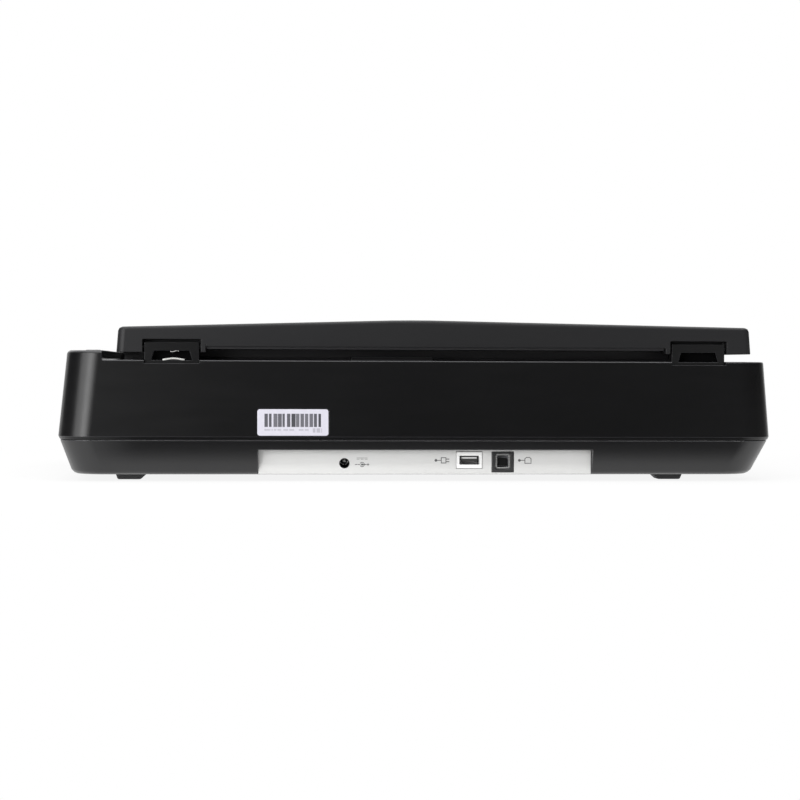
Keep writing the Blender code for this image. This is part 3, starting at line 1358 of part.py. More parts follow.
def carriage_housing():
    low = (CARRIAGE_X[0], CARRIAGE_Y[0], CARRIAGE_BOTTOM)
    trough = block("carriage_housing", low, (CARRIAGE_X[1], CARRIAGE_Y[1], CARRIAGE_TOP))
    wall = CARRIAGE_WALL
    low = (CARRIAGE_X[0] + wall, CARRIAGE_Y[0] + wall, CARRIAGE_BOTTOM + wall)
    high = (CARRIAGE_X[1] - wall, CARRIAGE_Y[1] - wall, CARRIAGE_TOP + OVERRUN)
    cut(trough, block("trough_room", low, high))
    return paint(trough, DARK_INNER)


def bushing_block():
    """A block under the carriage, bored for the two bushings."""
    half = BUSHING_OFFSET + BUSHING_LENGTH / 2
    low = (HOME_X - half, ROD_Y - BUSHING_WALL_Y, ROD_Z - BUSHING_WALL_Z)
    body = block("bushing_block", low, (HOME_X + half, ROD_Y + BUSHING_WALL_Y, CARRIAGE_BOTTOM - GAP))
    start = (HOME_X - half - OVERRUN, ROD_Y, ROD_Z)
    end = (HOME_X + half + OVERRUN, ROD_Y, ROD_Z)
    return paint(cut(body, cylinder("bushing_bore", start, end, BUSHING_RADIUS + GAP)), GREY_PLASTIC)


def carriage_cover():
    low = (CARRIAGE_X[0], CARRIAGE_Y[0], COVER_Z)
    plate = block("carriage_cover", low, (CARRIAGE_X[1], CARRIAGE_Y[1], COVER_Z + CARRIAGE_COVER))
    half = SLIT_WIDTH / 2
    ends = (CARRIAGE_Y[0] + 2 * LAMP_MARGIN, CARRIAGE_Y[1] - 2 * LAMP_MARGIN)
    low = (HOME_X - half, ends[0], COVER_Z - OVERRUN)
    cut(plate, block("slit", low, (HOME_X + half, ends[1], COVER_Z + CARRIAGE_COVER + OVERRUN)))
    join(plate, lamp_holders())
    join(plate, lens_cradle())
    return paint(plate, DARK_INNER)


def lamp_line():
    """The lamp's axis: its X, its Z and its two ends in Y."""
    x = HOME_X + LAMP_OFFSET
    z = COVER_Z + CARRIAGE_COVER + LAMP_RISE + LAMP_RADIUS
    return x, z, CARRIAGE_Y[0] + LAMP_MARGIN, CARRIAGE_Y[1] - LAMP_MARGIN


def lamp_holders():
    x, z, y_low, y_high = lamp_line()
    half = HOLDER_DEPTH_X / 2
    top = COVER_Z + CARRIAGE_COVER + HOLDER_RISE
    holders = []
    for outer, inward in ((y_low, 1), (y_high, -1)):
        far = outer + inward * HOLDER_WIDTH
        low = (x - half, min(outer, far), COVER_Z + CARRIAGE_COVER - JOIN)
        holders.append(block("lamp_holder", low, (x + half, max(outer, far), top)))
    both = group("lamp_holders", holders)
    start = (x, y_low + GAP, z)
    return cut(both, cylinder("lamp_bore", start, (x, y_high - GAP, z), LAMP_RADIUS + GAP, SMALL_SIDES))


def lamp_tube():
    x, z, y_low, y_high = lamp_line()
    inset = 2 * GAP
    tube = cylinder("lamp_tube", (x, y_low + inset, z), (x, y_high - inset, z), LAMP_RADIUS, SMALL_SIDES)
    return paint(tube, WHITE)


def mirrors():
    """Two long strips of glass that fold the light's path."""
    made = []
    length = CARRIAGE_LENGTH - 2 * CARRIAGE_WALL - 2 * GAP
    middle_y = (CARRIAGE_Y[0] + CARRIAGE_Y[1]) / 2
    for number, tilt in enumerate(MIRROR_TILTS):
        half = (MIRROR_WIDTH / 2, length / 2, MIRROR_THICKNESS / 2)
        mirror = block("mirror_" + str(number + 1), (-half[0], -half[1], -half[2]), half)
        x = HOME_X + CARRIAGE_WIDTH / 2 * MIRROR_X_SHARES[number]
        z = CARRIAGE_BOTTOM + CARRIAGE_HEIGHT * MIRROR_Z_SHARES[number]
        mirror.location = (x, middle_y, z)
        mirror.rotation_euler = (0, tilt * DEGREE, 0)
        made.append(paint(mirror, STEEL))
    return made


def lens_line():
    z = COVER_Z - LENS_DROP
    y = (CARRIAGE_Y[0] + CARRIAGE_Y[1]) / 2
    x = HOME_X - LENS_FROM_MIDDLE
    return (x - LENS_LENGTH / 2, y, z), (x + LENS_LENGTH / 2, y, z)


def lens_cradle():
    """A block under the carriage cover, hollowed to the lens barrel."""
    start, end = lens_line()
    low = (start[0], start[1] - CRADLE_WIDTH / 2, start[2])
    cradle = block("lens_cradle", low, (end[0], start[1] + CRADLE_WIDTH / 2, COVER_Z + JOIN))
    reach = Vector((OVERRUN, 0, 0))
    return cut(cradle, cylinder("lens_room", Vector(start) - reach, Vector(end) + reach, LENS_RADIUS + GAP))


def lens_barrel():
    start, end = lens_line()
    return paint(cylinder("lens_barrel", start, end, LENS_RADIUS), DARK_INNER)


def sensor_board():
    start, end = lens_line()
    x = CARRIAGE_X[0] + CARRIAGE_WALL + GAP
    low = (x, start[1] - SENSOR_LENGTH / 2, start[2] - SENSOR_HEIGHT / 2)
    high = (x + SENSOR_THICKNESS, start[1] + SENSOR_LENGTH / 2, start[2] + SENSOR_HEIGHT / 2)
    return paint(block("sensor_board", low, high), BOARD_GREEN)


def bushing(name, side):
    half = BUSHING_LENGTH / 2
    bore = ROD_RADIUS + GAP
    profile = [(bore, half), (BUSHING_RADIUS, half), (BUSHING_RADIUS, -half), (bore, -half)]
    piece = turned(name, profile, (HOME_X + side * BUSHING_OFFSET, ROD_Y, ROD_Z))
    piece.rotation_euler = (0, math.pi / 2, 0)
    return paint(piece, BRASS)


def glide_shoe():
    low = (HOME_X - SHOE_LENGTH / 2, RAIL_Y - SHOE_WIDTH / 2, RAIL_TOP + GAP)
    high = (HOME_X + SHOE_LENGTH / 2, RAIL_Y + SHOE_WIDTH / 2, CARRIAGE_BOTTOM - GAP)
    return paint(block("glide_shoe", low, high), WHITE)


def belt_clamp():
    """Two jaws that hold the rear run of the belt between them."""
    inner = DRIVE_Y + BELT_INNER - GAP - CLAMP_JAW
    outer = DRIVE_Y + BELT_OUTER + GAP + CLAMP_JAW
    low = (HOME_X - CLAMP_HALF_LENGTH, inner, BELT_LOW - CLAMP_BELOW_BELT)
    clamp = block("belt_clamp", low, (HOME_X + CLAMP_HALF_LENGTH, outer, CARRIAGE_BOTTOM - GAP))
    low = (low[0] - OVERRUN, DRIVE_Y + BELT_INNER - GAP, low[2] - OVERRUN)
    high = (HOME_X + CLAMP_HALF_LENGTH + OVERRUN, DRIVE_Y + BELT_OUTER + GAP, BELT_HIGH + GAP)
    return paint(cut(clamp, block("belt_slot", low, high)), GREY_PLASTIC)


def carriage_pieces():
    pieces = [carriage_housing(), bushing_block(), carriage_cover(), lamp_tube(), lens_barrel()]
    pieces += mirrors()
    pieces += [sensor_board(), bushing("bushing_left", -1), bushing("bushing_right", 1)]
    pieces += [glide_shoe(), belt_clamp()]
    attach(axis_empty("carriage_axis", (HOME_X, ROD_Y, ROD_Z)), *pieces)


# Rod and drive

def guide_rod():
    inset = GAP
    start = (ROD_X[0] + inset, ROD_Y, ROD_Z)
    return paint(cylinder("guide_rod", start, (ROD_X[1] - inset, ROD_Y, ROD_Z), ROD_RADIUS), STEEL)


def rod_holder(name, x):
    """A block bored for the rod, with a tab that is screwed to the floor."""
    base = FLOOR_TOP + GAP
    half = HOLDER_LENGTH / 2
    low = (x - half, ROD_Y - HOLDER_DEPTH / 2, base)
    holder = block(name, low, (x + half, ROD_Y + HOLDER_DEPTH / 2, ROD_Z + ROD_RADIUS + TAB_THICKNESS))
    low = (x - half, ROD_Y + HOLDER_DEPTH / 2 - JOIN, base)
    high = (x + half, ROD_Y + HOLDER_DEPTH / 2 + HOLDER_TAB, base + TAB_THICKNESS)
    join(holder, block("tab", low, high))
    start = (x - half - OVERRUN, ROD_Y, ROD_Z)
    rod_bore = cylinder("rod_bore", start, (x + half + OVERRUN, ROD_Y, ROD_Z), ROD_RADIUS + GAP)
    y = ROD_Y + HOLDER_DEPTH / 2 + HOLDER_TAB / 2
    hole = cylinder("hole", (x, y, FOOT_HEIGHT), (x, y, high[2] + OVERRUN), PEG_BORE, SMALL_SIDES)
    return paint(cut(holder, group("holder_bores", [rod_bore, hole])), GREY_PLASTIC)


def gear_outline(teeth, phase):
    """Teeth with straight flanks, each given by four points."""
    pitch = MODULE * teeth / 2
    tip = pitch + MODULE * ADDENDUM_SHARE
    root = pitch - MODULE * DEDENDUM_SHARE
    step = 2 * math.pi / teeth
    points = []
    for number in range(teeth):
        middle = phase + step * number
        flank = ((root, -TOOTH_ROOT_SHARE / 2), (tip, -TOOTH_TIP_SHARE / 2),
                 (tip, TOOTH_TIP_SHARE / 2), (root, TOOTH_ROOT_SHARE / 2))
        for radius, share in flank:
            angle = middle + step * share
            points.append((radius * math.cos(angle), radius * math.sin(angle)))
    return points


def circle(radius, sides):
    turn = 2 * math.pi / sides
    return [(radius * math.cos(turn * side), radius * math.sin(turn * side)) for side in range(sides)]


def pulley_profile(bore):
    """A belt pulley between two flanges, with its middle at height zero."""
    side = BELT_WIDTH / 2 + GAP
    outer = side + FLANGE_THICKNESS
    return [(bore, outer), (FLANGE_RADIUS, outer), (FLANGE_RADIUS, side), (PULLEY_RADIUS, side),
            (PULLEY_RADIUS, -side), (FLANGE_RADIUS, -side), (FLANGE_RADIUS, -outer), (bore, -outer)]


def drive_gear():
    """The large gear with its hub and belt pulley, turning on the tray's stud."""
    phase = -math.pi / 2 + math.pi / GEAR_TEETH
    middle = GEAR_BOTTOM + GEAR_THICKNESS / 2
    outlines = [gear_outline(GEAR_TEETH, phase), circle(STUD_BORE, SMALL_SIDES)]
    gear = extruded("drive_gear", outlines, GEAR_THICKNESS, (DRIVE_X, DRIVE_Y, middle))
    profile = pulley_profile(STUD_BORE)
    hub_bottom = GEAR_BOTTOM + GEAR_THICKNESS - JOIN - BELT_Z
    bottom = profile[-1][1]
    profile = profile[:-1] + [(HUB_RADIUS, bottom), (HUB_RADIUS, hub_bottom), (STUD_BORE, hub_bottom)]
    join(gear, turned("drive_pulley", profile, (DRIVE_X, DRIVE_Y, BELT_Z), SMALL_SIDES))
    attach(axis_empty("drive_gear_axis", (DRIVE_X, DRIVE_Y, BELT_Z)), gear)
    return paint(gear, WHITE)


def motor_pinion():
    middle = GEAR_BOTTOM + GEAR_THICKNESS / 2
    phase = math.pi / 2
    outlines = [gear_outline(PINION_TEETH, phase), circle(MOTOR_SHAFT_RADIUS + GAP, SMALL_SIDES)]
    pinion = extruded("motor_pinion", outlines, GEAR_THICKNESS, (DRIVE_X, MOTOR_Y, middle))
    attach(axis_empty("motor_axis", (DRIVE_X, MOTOR_Y, middle)), pinion)
    return paint(pinion, BRASS)


def stepper_motor():
    base = BRACKET_TOP + GAP
    top = (DRIVE_X, MOTOR_Y, base + MOTOR_HEIGHT)
    can = cylinder("stepper_motor", (DRIVE_X, MOTOR_Y, base), top, MOTOR_RADIUS)
    boss_low = (DRIVE_X, MOTOR_Y, base - MOTOR_BOSS_HEIGHT)
    join(can, cylinder("motor_boss", boss_low, (DRIVE_X, MOTOR_Y, base + JOIN), MOTOR_BOSS_RADIUS))
    low = (DRIVE_X, MOTOR_Y, GEAR_BOTTOM)
    join(can, cylinder("shaft", low, (DRIVE_X, MOTOR_Y, base), MOTOR_SHAFT_RADIUS, SMALL_SIDES))
    return paint(can, STEEL)


def motor_bracket():
    """A steel plate under the motor, on two side legs with a tab at one of them."""
    base = FLOOR_TOP + GAP
    y_low = MOTOR_Y - BRACKET_FRONT
    low_x = DRIVE_X - BRACKET_HALF_LENGTH
    high_x = DRIVE_X + BRACKET_HALF_LENGTH
    thick = BRACKET_THICKNESS
    plate_low = (low_x, y_low, BRACKET_TOP - thick)
    plate = block("motor_bracket", plate_low, (high_x, MOTOR_Y + BRACKET_REAR, BRACKET_TOP))
    y_high = y_low + 2 * BRACKET_TAB
    for x in (low_x, high_x - thick):
        join(plate, block("leg", (x, y_low, base), (x + thick, y_high, BRACKET_TOP - thick / 2)))
    tab_low = (low_x - BRACKET_TAB, y_low, base)
    join(plate, block("tab", tab_low, (low_x + thick / 2, y_high, base + TAB_THICKNESS)))
    start = (DRIVE_X, MOTOR_Y, GEAR_BOTTOM)
    holes = [cylinder("hole", start, (DRIVE_X, MOTOR_Y, BRACKET_TOP + OVERRUN), MOTOR_BOSS_RADIUS + GAP)]
    x, y = tab_peg_places()[-1]
    top = base + TAB_THICKNESS + OVERRUN
    holes.append(cylinder("hole", (x, y, FOOT_HEIGHT), (x, y, top), PEG_BORE, SMALL_SIDES))
    return paint(cut(plate, group("bracket_holes", holes)), STEEL)


def tensioner_bracket():
    """A yoke that holds the idler between two arms."""
    half = TENSIONER_WIDTH / 2
    side = BELT_WIDTH / 2 + GAP + FLANGE_THICKNESS + GAP
    low = (IDLER_X - TENSIONER_BACK, DRIVE_Y - half, FLOOR_TOP + GAP)
    high = (IDLER_X + TENSIONER_REACH, DRIVE_Y + half, BELT_Z + side + TENSIONER_ARM)
    yoke = block("tensioner_bracket", low, high)
    room_x = low[0] + TENSIONER_BACK_WALL
    room_low = (room_x, low[1] - OVERRUN, BELT_Z - side)
    cut(yoke, block("idler_room", room_low, (high[0] + OVERRUN, high[1] + OVERRUN, BELT_Z + side)))
    start = (IDLER_X, DRIVE_Y, FLOOR_TOP + FLOOR)
    axle_bore = cylinder("axle_bore", start, (IDLER_X, DRIVE_Y, high[2] + OVERRUN), STUD_BORE, SMALL_SIDES)
    return paint(cut(yoke, axle_bore), GREY_PLASTIC)


def idler_pulley():
    """The idler turns with its own axle, whose ends sit in the yoke."""
    side = BELT_WIDTH / 2 + GAP + FLANGE_THICKNESS
    reach = side + GAP + TENSIONER_ARM
    profile = pulley_profile(0)[1:-1]
    profile = [(0, reach), (STUD_RADIUS, reach), (STUD_RADIUS, side)] + profile
    profile += [(STUD_RADIUS, -side), (STUD_RADIUS, -reach), (0, -reach)]
    idler = turned("idler_pulley", profile, (IDLER_X, DRIVE_Y, BELT_Z), SMALL_SIDES)
    attach(axis_empty("idler_axis", (IDLER_X, DRIVE_Y, BELT_Z)), idler)
    return paint(idler, WHITE)


def tension_spring():
    """A coil between the yoke and the tray's end wall."""
    start = IDLER_X - TENSIONER_BACK - GAP - SPRING_WIRE
    wall = tray_box(BELT_Z - SPRING_RADIUS, WALL)[0]
    end = wall + GAP + 2 * SPRING_WIRE
    curve = bpy.data.curves.new("tension_spring", "CURVE")
    curve.dimensions = "3D"
    curve.bevel_depth = SPRING_WIRE
    curve.bevel_resolution = 1
    curve.use_fill_caps = True
    count = SPRING_TURNS * SPRING_TURN_POINTS
    spline = curve.splines.new("POLY")
    spline.points.add(count)
    for number, point in enumerate(spline.points):
        share = number / count
        angle = 2 * math.pi * SPRING_TURNS * share
        y = SPRING_RADIUS * math.cos(angle)
        z = SPRING_RADIUS * math.sin(angle)
        point.co = (start + (end - start) * share, DRIVE_Y + y, BELT_Z + z, 1)
    spring = bpy.data.objects.new("tension_spring", curve)
    PARTS.objects.link(spring)
    pitch = (start - end) / SPRING_TURNS
    print("tension spring: least gap between turns", round((pitch - 2 * SPRING_WIRE) / MM, 2), "mm")
    return paint(mesh_of_curve(spring), STEEL)


def belt_outline(radius):
    """Both straight runs and both half turns, at one distance from the pulleys' axes."""
    points = []
    for x, first in ((DRIVE_X, -math.pi / 2), (IDLER_X, math.pi / 2)):
        for step in range(SMALL_SIDES + 1):
            angle = first + math.pi * step / SMALL_SIDES
            points.append((x + radius * math.cos(angle), radius * math.sin(angle)))
    return points


def drive_belt():
    outlines = [belt_outline(BELT_OUTER), belt_outline(BELT_INNER)]
    belt = extruded("drive_belt", outlines, BELT_WIDTH, (0, DRIVE_Y, BELT_Z))
    return paint(belt, RUBBER)


def flex_cable():
    """The fixed run of the flat cable: along the floor, then up into its socket under the board."""
    half = RIBBON_WIDTH / 2
    low_z = FLOOR_TOP + GAP
    high_z = low_z + RIBBON_THICKNESS
    end_x = HOME_X - RIBBON_END_FROM_HOME
    front = BOARD_Y[0] - GAP
    left = BOARD_MIDDLE - half
    right = BOARD_MIDDLE + half
    run = block("flex_cable", (left, RIBBON_RUN_Y - half, low_z), (end_x, RIBBON_RUN_Y + half, high_z))
    join(run, block("ribbon_cross", (left, RIBBON_RUN_Y, low_z), (right, front, high_z)))
    low = (left, front - RIBBON_THICKNESS, low_z)
    join(run, block("ribbon_rise", low, (right, front, BOARD_Z - GAP)))
    return paint(run, AMBER)


def transport_lock():
    """A plate under the tray, a stem through its slot and a flange that keeps it in."""
    half = LOCK_PLATE / 2
    stem = LOCK_STEM / 2
    z = FOOT_HEIGHT + LOCK_RECESS - SLIDE_GAP
    low = (LOCK_X - half, LOCK_Y - half, z - LOCK_PLATE_THICKNESS)
    plate = block("transport_lock", low, (LOCK_X + half, LOCK_Y + half, z))
    low = (LOCK_X - stem, LOCK_Y - stem, z - JOIN)
    join(plate, block("lock_stem", low, (LOCK_X + stem, LOCK_Y + stem, LOCK_STEM_TOP)))
    flange = LOCK_FLANGE / 2
    low = (LOCK_X - flange, LOCK_Y - stem, FLOOR_TOP + GAP)
    high = (LOCK_X + flange, LOCK_Y + stem, low[2] + LOCK_FLANGE_THICKNESS)
    join(plate, block("lock_flange", low, high))
    attach(axis_empty("transport_lock_axis", (LOCK_X, LOCK_Y, z)), plate)
    return paint(plate, GREY_PLASTIC)


def fixed_pieces():
    lower_housing()
    upper_housing()
    platen_glass()
    platen_bezel()
    calibration_strip()
    connector_panel()
    dc_jack()
    usb_host_port()
    usb_device_port()
    usb_device_shell()
    rear_label()
    main_board()
    button_board()
    control_panel()
    corners = ("left_front", "left_rear", "right_front", "right_rear")
    for corner, foot, screw in zip(corners, foot_places(), screw_places()):
        rubber_foot("foot_" + corner, *foot)
        housing_screw("screw_" + corner, *screw)


def drive_pieces():
    guide_rod()
    left, right = holder_places()
    rod_holder("rod_holder_left", left)
    rod_holder("rod_holder_right", right)
    stepper_motor()
    motor_bracket()
    tensioner_bracket()
    tension_spring()
    drive_belt()
    flex_cable()
    drive_gear()
    motor_pinion()
    idler_pulley()


def lid_pieces():
    lift = axis_empty("hinge_lift_axis", (LID_MIDDLE, PIVOT_Y, TOP_Z))
    attach(lift, *hinges())
    pivot = axis_empty("lid_hinge_axis", (LID_MIDDLE, PIVOT_Y, PIVOT_Z))
    attach(lift, pivot)
    pieces = [lid_shell(), lid_inner_panel(), document_mat(), mat_sheet()]
    pieces += [hinge_pin(side) for side in HINGES]
    attach(pivot, *pieces)


def main():
    fixed_pieces()
    drive_pieces()
    carriage_pieces()
    lid_pieces()
    button("power_button", POWER_BUTTON_Y, True)
    for name, y in zip(BUTTON_NAMES, BUTTON_Y):
        button(name, y, False)
    transport_lock()


main()
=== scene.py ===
# %% [markdown]
# # Dressing a flatbed scanner
#
# The packed CAD model fixes every size and every joint of this scanner. This script gives it its
# looks: softened edges, the small fittings that a drawing leaves out, and finishes made of shader
# nodes. Each new piece rides on one of the CAD bodies, so the lid still opens and the carriage
# still runs. The cells can be run one after the other, and each prints what it made.

# %% Load the packed model
import json
import math

import bmesh
import bpy
from mathutils import Matrix, Vector

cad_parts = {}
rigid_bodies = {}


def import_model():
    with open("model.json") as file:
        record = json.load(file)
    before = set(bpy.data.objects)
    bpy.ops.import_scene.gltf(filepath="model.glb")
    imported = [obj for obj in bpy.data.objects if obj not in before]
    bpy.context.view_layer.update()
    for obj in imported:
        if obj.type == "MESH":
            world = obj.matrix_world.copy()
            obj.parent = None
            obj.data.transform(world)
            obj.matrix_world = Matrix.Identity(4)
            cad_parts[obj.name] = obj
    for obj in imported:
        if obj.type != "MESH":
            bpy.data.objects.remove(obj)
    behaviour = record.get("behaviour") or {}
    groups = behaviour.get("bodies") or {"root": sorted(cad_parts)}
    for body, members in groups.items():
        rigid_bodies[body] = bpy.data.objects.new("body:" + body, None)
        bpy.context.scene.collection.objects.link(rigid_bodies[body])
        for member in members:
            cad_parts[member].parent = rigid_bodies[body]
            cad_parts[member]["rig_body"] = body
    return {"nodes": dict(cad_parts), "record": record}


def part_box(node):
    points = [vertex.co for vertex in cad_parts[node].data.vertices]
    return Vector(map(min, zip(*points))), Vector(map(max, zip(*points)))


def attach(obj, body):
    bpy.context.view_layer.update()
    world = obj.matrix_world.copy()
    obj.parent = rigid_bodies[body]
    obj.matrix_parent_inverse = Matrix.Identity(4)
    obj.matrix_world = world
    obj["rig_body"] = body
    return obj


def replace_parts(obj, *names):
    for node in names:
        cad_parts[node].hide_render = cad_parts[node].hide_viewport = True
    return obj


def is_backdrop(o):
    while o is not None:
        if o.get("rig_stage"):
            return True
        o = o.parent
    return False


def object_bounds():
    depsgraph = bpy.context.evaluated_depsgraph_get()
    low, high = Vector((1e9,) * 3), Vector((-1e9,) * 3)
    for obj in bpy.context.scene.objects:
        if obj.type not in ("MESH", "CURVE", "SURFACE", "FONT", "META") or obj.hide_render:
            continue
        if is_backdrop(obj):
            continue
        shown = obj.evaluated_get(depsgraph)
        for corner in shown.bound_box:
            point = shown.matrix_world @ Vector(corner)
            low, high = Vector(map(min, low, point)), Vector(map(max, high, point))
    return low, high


MM = 0.001
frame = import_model()
cad_low, cad_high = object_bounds()
bodies = {name: node["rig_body"] for name, node in frame["nodes"].items()}
slots = {entry["node"]: entry["material_slot"] for entry in frame["record"]["subparts"]}
print(len(bodies), "nodes,", [round(side / MM) for side in cad_high - cad_low], "mm")

# %% [markdown]
# ## The camera
#
# The picture is taken from behind, from 1.4 m away and 75 mm over the desk, level with the slit
# under the lid: its edges run level there and tip away above and below. The place was worked out
# from edges that can be measured in the picture (the ends of the housing, the seam, the feet). A
# longer lens would flatten the scanner into a drawing, and a shifted lens isn't needed, because
# tipping the camera by one degree frames it as well.

# %% Camera
CAMERA_PLACE = Vector((0.1255, 1.545, 0.075))
CAMERA_TURN = 0.080
CAMERA_TIP = 0.0161
CAMERA_ROLL = 0.0037
LENS = 99.03
NEAREST_SEEN = 0.01


def added(name, data):
    """A new object in the scene."""
    thing = bpy.data.objects.new(name, data)
    bpy.context.scene.collection.objects.link(thing)
    return thing


def camera_axes(turn, tip, roll):
    """Right, up and backwards for a camera that looks to the front, turned, tipped and rolled."""
    level = Vector((-math.sin(turn), -math.cos(turn), 0))
    look = level * math.cos(tip) + Vector((0, 0, -1)) * math.sin(tip)
    side = look.cross(Vector((0, 0, 1))).normalized()
    over = side.cross(look)
    right = side * math.cos(roll) + over * math.sin(roll)
    return right, right.cross(look), -look


camera = added("camera", bpy.data.cameras.new("camera"))
camera.data.lens = LENS
camera.data.clip_start = NEAREST_SEEN
axes = Matrix(camera_axes(CAMERA_TURN, CAMERA_TIP, CAMERA_ROLL)).transposed().to_4x4()
camera.matrix_world = Matrix.Translation(CAMERA_PLACE) @ axes
bpy.context.scene.camera = camera
print("camera looks along", [round(-row[2], 3) for row in axes][:3])

# %% [markdown]
# ## Arithmetic on sockets
#
# Shader sums read best as sums. A wire wraps one output socket, and arithmetic on wires adds the
# Math nodes that do it. A colour can't pass through a Math node, which would turn it grey, so
# colours are mixed by a Mix node instead.

# %% Wires
def plug(tree, socket, value):
    """Sets a socket to a number or colour, or links a wire to it."""
    if isinstance(value, Wire):
        tree.links.new(value.socket, socket)
    else:
        socket.default_value = value


def maths(operation, swapped=False):
    """A method that adds a Math node; swapped is for a number on the wire's left."""
    def method(wire, other):
        tree = wire.socket.id_data
        node = tree.nodes.new("ShaderNodeMath")
        node.operation = operation
        first, second = (other, wire) if swapped else (wire, other)
        plug(tree, node.inputs[0], first)
        plug(tree, node.inputs[1], second)
        return Wire(node.outputs[0])
    return method


class Wire:
    """One output socket of a shader node."""

    def __init__(self, socket):
        self.socket = socket

    __add__, __radd__ = maths("ADD"), maths("ADD", swapped=True)
    __sub__, __rsub__ = maths("SUBTRACT"), maths("SUBTRACT", swapped=True)
    __mul__, __rmul__ = maths("MULTIPLY"), maths("MULTIPLY", swapped=True)
    __gt__, __lt__ = maths("GREATER_THAN"), maths("LESS_THAN")
    __mod__ = maths("FLOORED_MODULO")


print("wires take + - * < > and %")

# %% [markdown]
# ## Putting a finish together
#
# A finish is one material. Its node method adds any node: the settings go in first, because they
# decide which sockets the node has, and then its sockets get their numbers or wires. All patterns
# are placed by the object's own coordinates in metres, so a grain of half a millimetre is the same
# on every piece and moves with it. A scale is the number of grains in one metre.

# %% Finish
materials = {}


class Finish:
    """A material, or another holder of shader nodes, that is being put together."""

    def __init__(self, name, holder=None):
        self.name = name
        self.material = holder or bpy.data.materials.new(name)
        self.material.use_nodes = True
        self.tree = self.material.node_tree
        self.tree.nodes.clear()
        self.place = self.node("TexCoord", output="Object")

    def node(self, kind, settings=None, inputs=None, output=0):
        node = self.tree.nodes.new("ShaderNode" + kind)
        for name, value in (settings or {}).items():
            setattr(node, name, value)
        for key, value in (inputs or {}).items():
            plug(self.tree, node.inputs[key], value)
        return Wire(node.outputs[output]) if node.outputs else None

    def noise(self, scale, detail=2, stretch=None):
        """Soft noise from 0 to 1; stretch draws it out, as brushing does."""
        place = self.place
        if stretch:
            place = self.node("Mapping", None, {"Vector": place, "Scale": stretch})
        return self.node("TexNoise", None, {"Vector": place, "Scale": scale, "Detail": detail})

    def cells(self, scale, feature="F1", scatter=1.0):
        """Distances to scattered points, or to the borders between them."""
        return self.node("TexVoronoi", {"feature": feature},
                         {"Vector": self.place, "Scale": scale, "Randomness": scatter})

    def chance(self, value, seed=0):
        """A random number that stays the same from one whole value to the next."""
        number = self.node("Math", {"operation": "FLOOR"}, {0: value})
        return self.node("TexWhiteNoise", {"noise_dimensions": "1D"}, {"W": number + seed})

    def ramp(self, value, low, high):
        """A value spread so that low becomes 0 and high becomes 1."""
        return self.node("MapRange", None, {"Value": value, "From Min": low, "From Max": high})

    def mix(self, first, second, share):
        """Two colours mixed by a share."""
        return self.node("Mix", {"data_type": "RGBA"}, {0: share, 6: first, 7: second}, 2)

    def axis(self, number):
        """One coordinate of the place, in metres."""
        return self.node("SeparateXYZ", None, {0: self.place}, number)

    def bump(self, height, depth):
        """Dents of a real depth in metres."""
        return self.node("Bump", None, {"Height": height, "Distance": depth, "Strength": 1.0})

    def rays(self):
        """A wire that is 1 for what the camera sees, and one for mirrored and refracted views."""
        seen, mirrored, refracted = [self.node("LightPath", output="Is %s Ray" % kind)
                                     for kind in ("Camera", "Glossy", "Transmission")]
        return seen, mirrored + refracted

    def close(self, **inputs):
        """Adds the surface shader. An input's name is written with _ for a space."""
        named = {key.replace("_", " "): value for key, value in inputs.items()}
        surface = self.node("BsdfPrincipled", None, named)
        self.node("OutputMaterial", None, {"Surface": surface})
        materials[self.name] = self.material
        return self.material


def grey(shade):
    return (shade, shade, shade, 1)


def toned(colour, share, lift=0):
    """A colour times a share, and a little more."""
    return [min(1, part * share + lift) for part in colour[:3]] + [1]


print("a finish can", [word for word in vars(Finish) if not word.startswith("_")])

# %% [markdown]
# ## Moulded plastic
#
# The housing and the lid are injection moulded. Their moulds are spark eroded, which leaves a fine
# even grain that scatters the light and hides scratches. It could be painted on as speckle, but the
# eye reads it from the way it breaks up a highlight, so it is a bump with a real depth, at most a
# few hundredths of a millimetre. Handling polishes the edges: they are smoother and lighter. The
# lighter colour is partly wear and partly a painted highlight, strongest on the black housing and
# tray, and a mask that is stored with the mesh says where the edges are. One recipe makes the black
# housing, the grey buttons, the pale panel and the rubber of the feet.

# %% Plastics
FINE_CELLS = 2.3                            # fine cells across one coarse grain
BLOTCHES, WIPES, WEAR_AND_HIGHLIGHT_SPOTS = 14, 30, 220    # in one metre
WEAR_AND_HIGHLIGHT_START, WEAR_AND_HIGHLIGHT_END, WEAR_AND_HIGHLIGHT_SHARE = 0.12, 0.42, 0.8
WEAR_AND_HIGHLIGHT_LIFT = 0.004                       # how much lighter even black gets at its edges, by wear and by a painted highlight


def moulded_plastic(name, colour, rough, grain, depth, edge, cloud, gloss):
    """Plastic from a textured mould: grain and depth in millimetres, edge and cloud as shares."""
    finish = Finish(name)
    coarse = finish.noise(1 / (grain * MM), 3)
    fine = finish.cells(FINE_CELLS / (grain * MM))
    cloudy = finish.noise(BLOTCHES, 4)
    edge_mask = finish.node("Attribute", {"attribute_name": "edge"}, output=2)
    wear_and_highlight = edge_mask * finish.ramp(finish.noise(WEAR_AND_HIGHLIGHT_SPOTS, 3), WEAR_AND_HIGHLIGHT_START, WEAR_AND_HIGHLIGHT_END)
    base = finish.mix(colour, toned(colour, 1 - cloud), cloudy)
    # lighter edges: partly wear, partly a painted highlight
    base = finish.mix(base, toned(colour, edge, WEAR_AND_HIGHLIGHT_LIFT), wear_and_highlight * WEAR_AND_HIGHLIGHT_SHARE)
    wiped = finish.noise(WIPES, 4, (1, 1, 6))
    return finish.close(Base_Color=base,
                        Roughness=rough - 0.06 + cloudy * 0.06 + wiped * 0.06 - wear_and_highlight * 0.1,
                        Normal=finish.bump(coarse * 0.75 + fine * 0.25, depth * MM),
                        Specular_IOR_Level=gloss)


